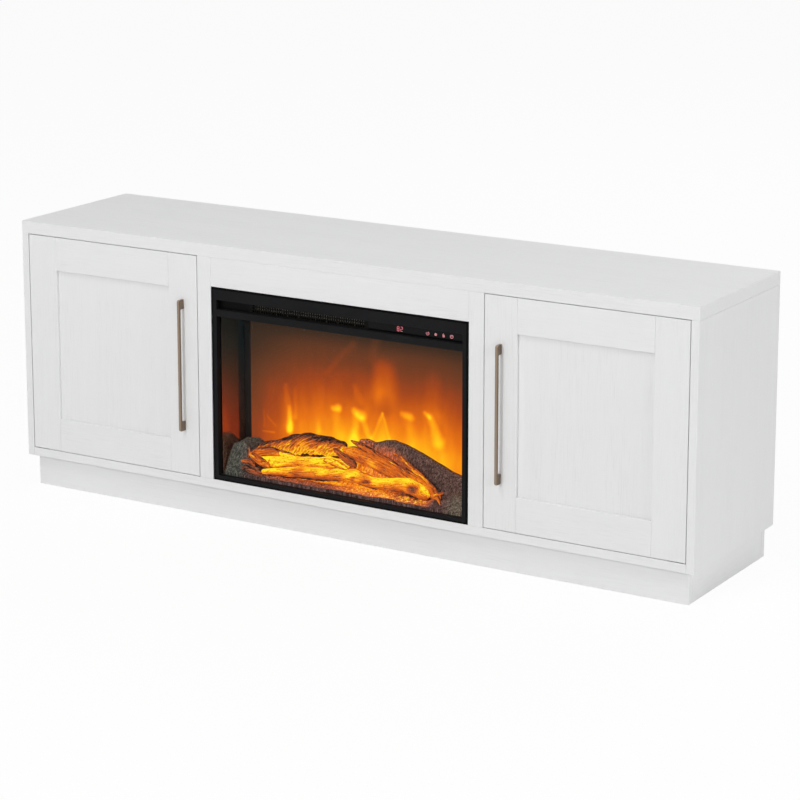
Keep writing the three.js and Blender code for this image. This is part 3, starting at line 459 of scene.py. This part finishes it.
# Each flame is a beam: x, height, half width and heat at one end, then at the other
# (millimetres).
BEAMS = (
    (-203, 305, 8, 0.08, -196, 208, 16, 0.12), (-199, 256, 6, 0.1, -195, 203, 11, 0.26),
    (-176, 302, 5, 0.04, -182, 235, 8, 0.08), (-118, 245, 5, 0.0, -118, 212, 8, 0.08),
    (-76, 270, 8, 0.2, -64, 272, 11, 0.26), (-70, 262, 12, 0.06, -62, 212, 20, 0.06),
    (-22, 272, 10, 0.22, -4, 263, 15, 0.24), (-16, 260, 12, 0.14, -27, 190, 14, 0.12),
    (-2, 255, 9, 0.12, 19, 214, 9, 0.1), (54, 374, 32, 0.2, 56, 320, 36, 0.22),
    (59, 303, 20, -0.1, 58, 292, 24, -0.1), (49, 274, 5, 0.06, 48, 214, 26, 0.12),
    (49, 276, 4, 0.1, 26, 214, 5, 0.05), (49, 276, 4, 0.1, 70, 216, 5, 0.05),
    (106, 282, 9, 0.16, 126, 278, 11, 0.18), (119, 275, 14, 0.08, 125, 208, 20, 0.08),
    (160, 292, 6, 0.16, 170, 284, 7, 0.16), (172, 286, 10, 0.14, 193, 230, 18, 0.2),
    (182, 372, 22, 0.06, 182, 295, 30, 0.12), (-22, 425, 10, 0.05, -98, 350, 10, 0.05),
    (36, 440, 16, 0.04, 20, 395, 14, 0.04), (-18, 327, 10, 0.06, -6, 298, 12, 0.06),
    (-257, 227, 3, 0.08, -234, 207, 3, 0.08), (-267, 190, 3, 0.1, -236, 191, 3, 0.12),
    (-268, 240, 3, 0.06, -262, 200, 3, 0.06), (252, 150, 50, 0.06, 200, 190, 30, 0.04),
    (-20, 205, 20, 0.08, 0, 185, 24, 0.1),
)


def flame_heat(x, z):
    """Heat of the flame picture at points of the screen, in millimetres."""
    points = np.stack([x / 1000, np.zeros_like(x), z / 1000], axis=-1)
    sway = fractal(points, 14) * FLAME_SWAY
    flicker = fractal(points * (1, 1, 0.35), 30, 3, (3, 0, 7))
    heat = np.interp(z, GLOW_HEIGHTS, GLOW_HEATS) * np.interp(x, GLOW_PLACES, GLOW_SHARES)
    x = x + sway
    heat = heat + 0.05 * flicker * smooth_step(heat, 0.1, 0.5)
    for x0, z0, width0, heat0, x1, z1, width1, heat1 in BEAMS:
        run, rise = x1 - x0, z1 - z0
        along = ((x - x0) * run + (z - z0) * rise) / (run ** 2 + rise ** 2)
        held = np.clip(along, 0, 1)
        away = np.hypot(x - x0 - held * run, z - z0 - held * rise)
        width = width0 + (width1 - width0) * held
        glow = (heat0 + (heat1 - heat0) * held) * (1 - smooth_step(away / width, 0.1, 1.35))
        heat = heat + glow
    return np.clip(heat, 0, 1)


def glow_material(name, layer):
    """A surface that sends out the colour that is stored at each vertex."""
    shader = Shader(name, Base_Color=(0.004, 0.003, 0.003), Roughness=0.7, Specular_IOR_Level=0.0)
    stored = shader.node("Attribute", attribute_name=layer).outputs["Color"]
    weave = shader.noise(shader.place(), 240, 3, 0.6)
    level = shader.spread(weave, 0.25, 0.75, 0.95, 1.03)
    shader.set(Emission_Color=stored, Emission_Strength=level)
    return shader.material


def add_flame_picture():
    low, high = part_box("flame_screen")
    xs = np.arange(low[0] + SCREEN_EDGE, high[0] - SCREEN_EDGE, PICTURE_STEP)
    zs = np.arange(low[2] + SCREEN_EDGE, high[2] - SCREEN_EDGE, PICTURE_STEP)
    x, z = (values.ravel() for values in np.meshgrid(xs, zs))
    points = np.stack([x, np.full_like(x, low[1] - PICTURE_GAP), z], axis=-1)
    piece = add_mesh("flame_picture", points, grid_faces(len(xs), len(zs)),
                     glow_material("flame_light", "flames"), smooth=True)
    paint(piece, "flames", heat_color(flame_heat(x / mm, z / mm)))


add_flame_picture()

# Log set

LOG_RING_POINTS = 120
LOG_STEP = 1.4 * mm
LOG_END = 5 * mm
# The path of a log is smoothed over this many of its points.
PATH_BLUR = 11
# The pattern of the bark is drawn out along the log.
BARK_STRETCH = 0.16
# Relief: lumps and splits as shares of the radius, and fibres and cracks as depths, which
# are less on logs thinner than the full radius.
LUMP_SHARE = 0.28
SPLIT_SHARE = 0.12
FIBRE_DEPTH = 0.6 * mm
FULL_RADIUS = 16 * mm
LUMP_SHIFT = 4 * mm
CRACK_DEPTHS = {"ember": 1.3 * mm, "bark": 2.2 * mm}
CRACK_WIDTHS = {"ember": 0.08, "bark": 0.15}
# Sides of a log are given in degrees from the back, over the top. Embers are painted darker
# away from this side, as shade where the logs lie against each other.
EMBER_FRONT = 158
# Each log has its own part of the noise: the place of the first, and the step to the next.
LOG_SEEDS = (1, 3.7)
TWIG_SEEDS = (20, 2.9)
BARK_DARK = np.array((0.030, 0.017, 0.014))
BARK_TAN = np.array((0.11, 0.060, 0.042))

# Each log: "ember" or "bark", its glow, the side that glows most, the twist of its grain
# (radians per metre), and a path of stations (x, depth behind the cabinet front, height
# above the floor, radius) in millimetres.
LOGS = {
    "left_log": ("bark", 1.3, 232, 34, (
        (-262, 66, 156, 6), (-240, 68, 163, 14), (-212, 70, 168, 17), (-165, 73, 182, 21),
        (-125, 74, 192, 23), (-90, 75, 190, 21), (-60, 75, 189, 21), (-40, 75, 193, 16),
        (-28, 75, 195, 13), (-19, 75, 196, 6))),
    "middle_log": ("ember", 1.0, 118, 6, (
        (-246, 48, 146, 4), (-222, 48, 142, 10), (-190, 49, 143, 14), (-150, 50, 149, 13),
        (-110, 50, 153, 14), (-60, 51, 159, 14), (-20, 52, 162, 11), (4, 53, 164, 5))),
    "front_log": ("ember", 0.92, 100, 4, (
        (-220, 30, 121, 5), (-190, 31, 125, 9), (-130, 32, 131, 13), (-60, 33, 138, 13),
        (0, 34, 145, 14), (26, 35, 145, 16), (62, 36, 138, 13), (110, 37, 140, 14),
        (150, 38, 146, 17), (182, 38, 142, 19), (204, 38, 133, 15), (216, 38, 127, 6))),
    "right_log": ("ember", 0.62, 150, 0, (
        (-20, 58, 192, 7), (4, 59, 192, 12), (40, 60, 183, 15), (90, 60, 171, 17),
        (140, 58, 157, 17), (180, 56, 144, 16), (215, 53, 130, 12), (236, 51, 121, 5))),
}
# Small pieces of wood that lie on the bed, on the same pattern.
TWIGS = {
    "bark_flake": ("bark", 0.9, 200, 8, (
        (-268, 50, 152, 4), (-240, 48, 160, 9), (-205, 48, 167, 9), (-172, 50, 165, 4))),
    "bark_chip": ("bark", 1.5, 200, 0, (
        (-196, 50, 166, 3), (-176, 48, 165, 7), (-156, 48, 163, 7), (-140, 50, 162, 3))),
    "left_branch": ("bark", 0.95, 120, 6, (
        (-262, 40, 156, 3), (-244, 36, 150, 8), (-220, 32, 141, 9), (-196, 32, 132, 5))),
    "left_spike": ("bark", 0.95, 150, 0, (
        (-262, 38, 140, 5), (-259, 38, 150, 4), (-259, 38, 162, 2), (-260, 38, 172, 1))),
    "left_root": ("bark", 0.75, 110, 0, (
        (-284, 34, 132, 2), (-268, 32, 138, 5), (-252, 32, 137, 6), (-238, 32, 131, 4))),
    "left_stub": ("bark", 0.6, 110, 0, (
        (-276, 30, 122, 4), (-258, 30, 122, 9), (-238, 30, 118, 10), (-216, 31, 114, 5))),
    "wedge_log": ("bark", 0.75, 120, 0, (
        (-36, 42, 199, 3), (-20, 42, 190, 8), (4, 42, 176, 10), (26, 43, 166, 6))),
    "wedge_chip": ("bark", 1.4, 130, 0, (
        (-60, 34, 172, 3), (-36, 32, 172, 8), (-10, 32, 166, 9), (8, 33, 160, 4))),
    "top_splinter": ("bark", 0.8, 150, 0, (
        (-6, 62, 218, 1), (26, 64, 206, 8), (80, 63, 187, 9), (130, 62, 170, 5))),
    "middle_splinter": ("bark", 0.9, 150, 0, (
        (60, 60, 204, 2), (96, 58, 190, 5), (140, 56, 170, 5), (180, 54, 154, 3))),
    "right_splinter": ("bark", 1.0, 150, 0, (
        (104, 64, 206, 2), (134, 62, 189, 6), (176, 60, 166, 6), (222, 56, 138, 3))),
    "right_stub": ("bark", 1.0, 150, 0, (
        (226, 34, 130, 4), (236, 33, 137, 6), (246, 33, 141, 4), (255, 34, 144, 2))),
    "right_spike": ("bark", 1.1, 150, 0, (
        (234, 32, 134, 5), (241, 32, 127, 6), (246, 32, 118, 4), (248, 32, 110, 2))),
}
# Knots and hollows: x, height, half width, half height, heat and depth (millimetres).
HOLLOWS = (
    (27, 144, 7, 6, -0.34, 2), (27, 144, 13, 11, 0.10, 0), (60, 141, 12, 4, -0.36, 2),
    (180, 144, 13, 8, -0.60, 4), (-88, 122, 8, 5, -0.24, 1), (-205, 142, 3, 10, -0.34, 2),
)


def log_rings(stations):
    """Distances along a smoothed path through the stations, and its x, y, z and radius."""
    table = np.array(stations) * mm
    table[:, 1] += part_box("top_panel")[0][1]
    steps = np.linalg.norm(np.diff(table[:, :3], axis=0), axis=1)
    lengths = np.concatenate([[0], np.cumsum(steps)])
    along = np.linspace(0, lengths[-1], max(int(lengths[-1] / LOG_STEP), 20))
    rows = []
    for column in range(4):
        row = np.pad(np.interp(along, lengths, table[:, column]), PATH_BLUR // 2, mode="edge")
        rows.append(np.convolve(row, np.ones(PATH_BLUR) / PATH_BLUR, mode="valid"))
    end = np.minimum(along, lengths[-1] - along)
    rows[3] = rows[3] * np.sqrt(np.clip(end / LOG_END, 0.02, 1))
    return along, np.array(rows)


def log_heat(kind, glow, angle, facing, patches, crack, splits, fibres):
    """Embers glow all over, and bark along its veins and on its bright side."""
    if kind == "ember":
        # Painted shade: embers are darker where they face away from their front, where the logs
        # lie against each other.
        edge = 1 - smooth_step(np.cos(angle - math.radians(EMBER_FRONT)), 0.0, 0.55)
        heat = glow * (0.38 + 0.66 * facing ** 0.8) + 0.26 * patches
        return heat - 0.44 * crack + 0.15 * fibres - 0.27 * edge
    veins = 1 - smooth_step(np.abs(splits - 0.3), 0.0, 0.09) + 0.8 * fibres
    heat = glow * (0.12 + 0.60 * facing + 0.27 * veins) + 0.16 * patches - 0.40 * crack
    return heat - 0.24 * smooth_step(np.sin(angle), 0.5, 0.95)


def hollow_out(points, angle, heat):
    """Shapes the knots and hollows in the front of a log, and returns the heat with theirs."""
    in_front = smooth_step(-np.cos(angle), 0.0, 0.4)
    for middle, height, half_width, half_height, warmth, hollow in HOLLOWS:
        across = (points[..., 0] / mm - middle) / half_width
        upright = (points[..., 2] / mm - height) / half_height
        reach = in_front * np.exp(-(across ** 2 + upright ** 2) ** 1.5)
        heat = heat + warmth * reach
        points[..., 1] += hollow * mm * reach
    return heat


def build_log(kind, glow, bright_side, twist, stations, seed):
    """Points and faces of a log, its heat and how raised its bark is at each point."""
    along, (xs, ys, zs, radii) = log_rings(stations)
    turn = np.linspace(0, 2 * np.pi, LOG_RING_POINTS, endpoint=False)
    angle, place = np.meshgrid(turn, along)
    size = radii[:, None]
    turned = angle + twist * place
    skin = (place * BARK_STRETCH, size * np.cos(turned), size * np.sin(turned))
    skin = np.stack(skin, axis=-1).reshape(-1, 3)
    splits = fractal(skin, 150, 3, (seed, 0, 0)).reshape(angle.shape)
    fibres = fractal(skin * (0.6, 1, 1), 420, 3, (0, 0, seed)).reshape(angle.shape)
    lumps = fractal(skin * (3, 1, 1), 38, 3, (0, seed, 0)).reshape(angle.shape)
    patches = fractal(skin * (4, 1, 1), 30, 2, (seed, seed, 0)).reshape(angle.shape)
    crack = 1 - smooth_step(np.abs(splits), 0.0, CRACK_WIDTHS[kind])
    relief = FIBRE_DEPTH * fibres - CRACK_DEPTHS[kind] * crack
    relief = np.minimum(size / FULL_RADIUS, 1) * relief
    radius = size * (1 + LUMP_SHARE * lumps + SPLIT_SHARE * splits) + relief
    x = np.broadcast_to(xs[:, None], angle.shape) + LUMP_SHIFT * lumps
    y = ys[:, None] + radius * np.cos(angle)
    z = zs[:, None] + radius * np.sin(angle)
    points = np.stack([x, y, z], axis=-1)
    facing = 0.5 + 0.5 * np.cos(angle - math.radians(bright_side))
    heat = log_heat(kind, glow, angle, facing, patches, crack, splits, fibres)
    if kind == "ember":
        heat = hollow_out(points, angle, heat)
    faces = grid_faces(LOG_RING_POINTS, len(along), wrap=True)
    last = (len(along) - 1) * LOG_RING_POINTS
    faces.append(tuple(reversed(range(LOG_RING_POINTS))))
    faces.append(tuple(range(last, last + LOG_RING_POINTS)))
    return points.reshape(-1, 3), faces, np.clip(heat, 0, 1).ravel(), (fibres - crack).ravel()


def log_colors(heat, ridges):
    """Colour that a log sends out, and the colour of its bark, which is charred where hot."""
    light = heat_color(heat) * smooth_step(heat, 0.08, 0.3)[:, None]
    bark = BARK_DARK + (BARK_TAN - BARK_DARK) * smooth_step(ridges, -0.5, 0.6)[:, None]
    return light, bark * (1 - 0.6 * smooth_step(heat, 0.3, 0.6))[:, None]


def fire_bed_material(name):
    """Charcoal or bark that glows where the light inside it comes through."""
    shader = Shader(name, Roughness=0.85, Specular_IOR_Level=0.1)
    light = shader.node("Attribute", attribute_name="light").outputs["Color"]
    bark = shader.node("Attribute", attribute_name="bark").outputs["Color"]
    grit = shader.noise(shader.place(), 480, 4, 0.75)
    shade = shader.mix(shader.spread(grit, 0.40, 0.60), (0.45, 0.45, 0.45), (1.75, 1.75, 1.75))
    tinted = shader.node("Mix", data_type="RGBA", blend_type="MULTIPLY")
    tinted.inputs["Factor"].default_value = 1
    shader.join(bark, tinted.inputs[6])
    shader.join(shade, tinted.inputs[7])
    shader.set(Base_Color=tinted.outputs[2], Emission_Color=light)
    shader.set(Emission_Strength=shader.spread(grit, 0.35, 0.65, 0.72, 1.16))
    shader.bump(grit, 0.8 * mm, 0.8)
    return shader.material


fire_bed = fire_bed_material("fire_bed")


def add_log(name, log, seed):
    points, faces, heat, ridges = build_log(*log, seed)
    piece = add_mesh(name, points, faces, fire_bed, smooth=True)
    light, bark = log_colors(heat, ridges)
    paint(piece, "light", light)
    paint(piece, "bark", bark)
    return piece


def add_logs():
    first, step = LOG_SEEDS
    for count, (name, log) in enumerate(LOGS.items()):
        piece = add_log(f"{name}_bark", log, step * count + first)
        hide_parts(name)
    first, step = TWIG_SEEDS
    for count, (name, log) in enumerate(TWIGS.items()):
        add_log(name, log, step * count + first)


add_logs()

# Ember bed

BED_STEP = 1.6 * mm
BED_ROWS = 110
BED_MARGIN = 1 * mm
BED_GAP = 0.2 * mm
# Relief of the charcoal, in millimetres: rocks, crumbs and specks.
BED_RELIEF = (3.2, 1.5, 0.8)
CHARCOAL = np.array((0.155, 0.115, 0.105))
ROCK = np.array((0.19, 0.19, 0.155))
ASH = np.array((0.23, 0.135, 0.12))
WARM_TINT = np.array((0.75, 0.4, 0.25))
# Height of the charcoal along the width at the back, in millimetres: x, height above the floor.
CREST = ((-318, 130), (-312, 162), (-292, 177), (-266, 175), (-238, 160), (-200, 156), (-120, 160),
         (-30, 168), (-4, 172), (4, 214), (22, 217), (46, 212), (70, 221), (92, 224), (120, 219),
         (161, 206), (209, 187), (242, 174), (273, 165), (316, 158))
# Height along the width near the front: the rocks at both ends stand higher.
APRON = ((-318, 118), (-313, 152), (-304, 170), (-290, 177), (-270, 175), (-254, 160), (-234, 124),
         (-150, 113), (0, 114), (120, 115), (205, 113), (235, 124), (262, 136), (290, 138),
         (316, 130))
FRONT_HEIGHT = 109
# How far the bed falls behind its crest.
BACK_DROP = 14


def bed_height(x, share):
    """Height of the bed, in millimetres, by x and by the share of its depth."""
    crest = np.interp(x, *zip(*CREST))
    apron = np.interp(x, *zip(*APRON))
    front = FRONT_HEIGHT + (apron - FRONT_HEIGHT) * smooth_step(share, 0.0, 0.3)
    height = front + (crest - apron) * smooth_step(share, 0.5, 0.78)
    return height - BACK_DROP * smooth_step(share, 0.86, 1)


def bed_heat(place, share, rocks, crumbs, specks):
    """Heat of the charcoal, by x in millimetres, by the share of its depth and by its relief."""
    # Crumbs glow in front of the logs, most of all right of the middle.
    front = smooth_step(share, 0.03, 0.10) * (1 - smooth_step(share, 0.30, 0.5))
    front = front * (0.58 + 0.42 * smooth_step(place, -60, 30)) * smooth_step(place, -235, -190)
    front = front * (1 - smooth_step(place, 195, 240))
    heat = front * (0.95 * smooth_step(crumbs + 0.7 * specks, -0.05, 0.5))
    heat = np.maximum(heat, front * (0.58 + 0.22 * rocks + 0.28 * specks))
    # The slope between the logs glows, and so do streaks on the crest right of the middle.
    slope = smooth_step(share, 0.22, 0.36) * (1 - smooth_step(share, 0.62, 0.8))
    slope = slope * smooth_step(place, -245, -185) * (1 - smooth_step(place, 60, 190))
    heat = np.maximum(heat, slope * (0.72 + 0.25 * crumbs + 0.2 * specks))
    streak = smooth_step(share, 0.5, 0.66) * smooth_step(place, -6, 10)
    streak = streak * (1 - smooth_step(place, 20, 90))
    heat = np.maximum(heat, streak * (0.30 + 0.5 * crumbs + 0.3 * specks))
    return np.clip(heat, 0, 1)


def bed_bark(place, share, crumbs, specks):
    """Grey green rocks at both ends, brown charcoal between and reddish brown ash in front."""
    right_end = smooth_step(place, 235, 285) * (1 - smooth_step(share, 0.4, 0.6))
    ends = 1 - smooth_step(place, -285, -235) + right_end
    ash = (1 - smooth_step(share, 0.2, 0.4)) * (1 - ends)
    pale = CHARCOAL + ends[:, None] * (ROCK - CHARCOAL)
    pale = pale + ash[:, None] * (ASH - pale)
    warm = (smooth_step(place, -60, 60) * (1 - ash))[:, None]
    tone = smooth_step(specks + 0.4 * crumbs, -0.35, 0.5)[:, None]
    return pale * (1 + warm * WARM_TINT) * (0.28 + 0.72 * tone)


def bed_grid(low, high):
    """Places of the bed's points, which of them are the foot of its upright sides, and faces."""
    xs = np.arange(low[0] + BED_MARGIN, high[0] - BED_MARGIN, BED_STEP)
    ys = np.linspace(low[1] + BED_MARGIN, high[1] - BED_MARGIN, BED_ROWS)
    # One more point at each end of every row and column makes the upright sides.
    xs = np.concatenate([xs[:1], xs, xs[-1:]])
    ys = np.concatenate([ys[:1], ys, ys[-1:]])
    x, y = np.meshgrid(xs, ys)
    foot = np.zeros(x.shape, dtype=bool)
    foot[[0, -1], :] = True
    foot[:, [0, -1]] = True
    return x.ravel(), y.ravel(), foot.ravel(), grid_faces(len(xs), len(ys))


def add_ember_bed():
    low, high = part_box("ember_bed")
    x, y, foot, faces = bed_grid(low, high)
    place = x / mm
    share = (y - low[1]) / (high[1] - low[1])
    height = bed_height(place, share) * mm
    flat = np.stack([x, y, height], axis=-1)
    rocks = fractal(flat, 40, 3, (5, 1, 0))
    crumbs = fractal(flat, 190, 3, (1, 8, 0))
    specks = fractal(flat, 520, 2, (4, 4, 0))
    relief = BED_RELIEF[0] * rocks + BED_RELIEF[1] * crumbs + BED_RELIEF[2] * specks
    # The crest right of the middle has a smooth outline.
    calm = smooth_step(place, -10, 2) * smooth_step(share, 0.45, 0.7)
    height = height + (1 - 0.8 * calm) * relief * mm
    height = np.where(foot, low[2] + BED_GAP, np.minimum(height, high[2] - BED_GAP))
    points = np.stack([x, y, height], axis=-1)
    piece = add_mesh("charcoal_bed", points, faces, fire_bed, smooth=True)
    heat = bed_heat(place, share, rocks, crumbs, specks)
    paint(piece, "light", heat_color(heat) * smooth_step(heat, 0.10, 0.35)[:, None])
    paint(piece, "bark", bed_bark(place, share, crumbs, specks))
    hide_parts("ember_bed")


add_ember_bed()

# Control panel: two digits and four touch symbols

DIGIT_CENTRE = (154 * mm, 499.5 * mm)
DIGIT_SIZE = (6.3 * mm, 10.8 * mm)
DIGIT_PITCH = 8.7 * mm
DIGIT_STROKE = 1.6 * mm
SEGMENT_STROKE = DIGIT_STROKE * 0.82
SYMBOL_PLACES = (223 * mm, 243 * mm, 262.7 * mm, 282.5 * mm)
SYMBOL_HEIGHT = 498.5 * mm
SYMBOL_RADIUS = 4.2 * mm
SYMBOL_STROKE = 1.5 * mm
PRINT_LIFT = 0.12 * mm
SEGMENTS = {"8": "abcdefg", "2": "abged"}


def print_material(name, color, strength):
    """Lit print, a little uneven."""
    shader = Shader(name, Base_Color=color, Roughness=0.4, Emission_Color=color)
    cells = shader.noise(shader.place(), 900, 2)
    shader.set(Emission_Strength=shader.spread(cells, 0.3, 0.7, 0.8 * strength, strength))
    return shader.material


def bar(points, faces, start, end, stroke, y):
    """Adds a flat hexagonal bar between two points (x, z) of the panel's face."""
    start, end = Vector(start), Vector(end)
    along = (end - start).normalized()
    aside = Vector((-along.y, along.x)) * stroke / 2
    tip = along * stroke / 2
    first = len(points)
    corners = (start - tip, start + aside, end + aside, end + tip, end - aside, start - aside)
    points.extend((corner.x, y, corner.y) for corner in corners)
    faces.append(tuple(range(first, first + len(corners))))


def digit(points, faces, figure, centre, y):
    """Adds the lit segments of a seven-segment figure."""
    width, height = (size - DIGIT_STROKE for size in DIGIT_SIZE)
    left, right = centre[0] - width / 2, centre[0] + width / 2
    top, middle, bottom = centre[1] + height / 2, centre[1], centre[1] - height / 2
    ends = {"a": ((left, top), (right, top)), "b": ((right, top), (right, middle)),
            "c": ((right, middle), (right, bottom)), "d": ((left, bottom), (right, bottom)),
            "e": ((left, middle), (left, bottom)), "f": ((left, top), (left, middle)),
            "g": ((left, middle), (right, middle))}
    for segment in SEGMENTS[figure]:
        bar(points, faces, *ends[segment], SEGMENT_STROKE, y)


def ring(points, faces, centre, radius, stroke, y, start=0.0, turn=1.0, steps=28):
    """Adds a flat ring, or a part of one, as shares of a full turn."""
    first = len(points)
    for step in range(steps + 1):
        angle = 2 * math.pi * (start + turn * step / steps)
        for reach in (radius - stroke, radius):
            across, upright = reach * math.cos(angle), reach * math.sin(angle)
            points.append((centre[0] + across, y, centre[1] + upright))
    for step in range(steps):
        a = first + 2 * step
        faces.append((a, a + 1, a + 3, a + 2))


def add_display():
    low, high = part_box("control_panel")
    y = low[1] - PRINT_LIFT
    points, faces = [], []
    for side, figure in ((-0.5, "8"), (0.5, "2")):
        centre = (DIGIT_CENTRE[0] + side * DIGIT_PITCH, DIGIT_CENTRE[1])
        digit(points, faces, figure, centre, y)
    add_mesh("display_digits", points, faces, print_material("display_red", (0.8, 0.2, 0.24), 0.3))
    points, faces = [], []
    x0, x1, x2, x3 = SYMBOL_PLACES
    z = SYMBOL_HEIGHT
    radius, stroke = SYMBOL_RADIUS, SYMBOL_STROKE
    # An open ring with a bar, a dot, a drop and a power sign.
    ring(points, faces, (x0, z), radius, stroke, y, start=0.4, turn=0.75)
    bar(points, faces, (x0 - radius * 0.1, z), (x0 + radius * 0.6, z + radius * 0.7), stroke, y)
    ring(points, faces, (x1, z), radius * 0.8, radius * 0.75, y, steps=6)
    ring(points, faces, (x2, z - radius * 0.25), radius * 0.72, radius * 0.7, y, steps=16)
    bar(points, faces, (x2 - radius * 0.55, z), (x2 - radius * 0.1, z + radius), stroke, y)
    ring(points, faces, (x3, z), radius, stroke, y, start=0.31, turn=0.88)
    bar(points, faces, (x3, z + radius * 0.1), (x3, z + radius * 0.9), stroke, y)
    add_mesh("touch_symbols", points, faces, print_material("symbol_pink", (0.8, 0.3, 0.34), 0.2))


add_display()

# Floor, world and lamps

FLOOR_REACH = 14
# How much of the floor's colour is plain white wherever it is seen, and not lit.
FLOOR_WHITE = 0.94
WORLD_LIGHT = 0.30
# Each lamp: name, place, point that it shines at, diameter and power.
LAMPS = (
    ("key_lamp", (-0.8, -6.0, 3.0), (0.2, 0, 0.3), 1.2, 114),
    ("soft_lamp", (-0.2, -2.6, 4.4), (0, 0, 0.2), 2.6, 50),
    ("side_lamp", (5.0, -0.8, 2.2), (0.6, 0, 0.3), 2.4, 67),
    ("back_lamp", (0.5, 5.0, 4.4), (0, 0, 0.3), 2.4, 85),
)


def add_floor():
    """Pale floor that keeps the object's shadow."""
    shader = Shader("floor", Roughness=0.9)
    tone = shader.noise(shader.place(), 3, 2)
    color = shader.ramp(tone, [(0.3, (0.93, 0.93, 0.93)), (0.7, (0.95, 0.95, 0.95))])
    shader.set(Base_Color=color)
    path = shader.node("LightPath")
    seen = shader.math("MAXIMUM", path.outputs["Is Camera Ray"], path.outputs["Is Glossy Ray"])
    seen = shader.math("MAXIMUM", seen, path.outputs["Is Transmission Ray"])
    light = shader.node("Emission")
    blend = shader.node("MixShader")
    shader.join(shader.math("MULTIPLY", seen, FLOOR_WHITE), blend.inputs[0])
    shader.join(shader.surface.outputs[0], blend.inputs[1])
    shader.join(light.outputs[0], blend.inputs[2])
    shader.join(blend.outputs[0], shader.output.inputs["Surface"])
    mesh = bpy.data.meshes.new("floor")
    shape = bmesh.new()
    bmesh.ops.create_grid(shape, x_segments=8, y_segments=8, size=FLOOR_REACH)
    shape.to_mesh(mesh)
    shape.free()
    mesh.materials.append(shader.material)
    floor = bpy.data.objects.new("floor", mesh)
    bpy.context.collection.objects.link(floor)


def add_world():
    """Soft light from all sides, seen as plain white."""
    world = bpy.data.worlds.new("studio")
    world.use_nodes = True
    bpy.context.scene.world = world
    tree = world.node_tree
    tree.nodes.clear()
    output = tree.nodes.new("ShaderNodeOutputWorld")
    soft = tree.nodes.new("ShaderNodeBackground")
    soft.inputs["Color"].default_value = (1, 1, 1, 1)
    soft.inputs["Strength"].default_value = WORLD_LIGHT
    seen = tree.nodes.new("ShaderNodeBackground")
    seen.inputs["Color"].default_value = (1, 1, 1, 1)
    seen.inputs["Strength"].default_value = 1.0
    path = tree.nodes.new("ShaderNodeLightPath")
    blend = tree.nodes.new("ShaderNodeMixShader")
    seen_by = path.outputs["Is Camera Ray"]
    for kind in ("Is Glossy Ray", "Is Transmission Ray"):
        either = tree.nodes.new("ShaderNodeMath")
        either.operation = "MAXIMUM"
        tree.links.new(seen_by, either.inputs[0])
        tree.links.new(path.outputs[kind], either.inputs[1])
        seen_by = either.outputs[0]
    tree.links.new(seen_by, blend.inputs[0])
    tree.links.new(soft.outputs[0], blend.inputs[1])
    tree.links.new(seen.outputs[0], blend.inputs[2])
    tree.links.new(blend.outputs[0], output.inputs["Surface"])


def add_lamp(name, place, aim, size, power):
    data = bpy.data.lights.new(name, "AREA")
    data.shape = "DISK"
    data.size = size
    data.energy = power
    lamp = bpy.data.objects.new(name, data)
    lamp.location = place
    lamp.rotation_euler = (Vector(aim) - Vector(place)).to_track_quat("-Z", "Y").to_euler()
    bpy.context.collection.objects.link(lamp)


add_floor()
add_world()
for lamp in LAMPS:
    add_lamp(*lamp)

bpy.context.scene.view_settings.view_transform = "Standard"
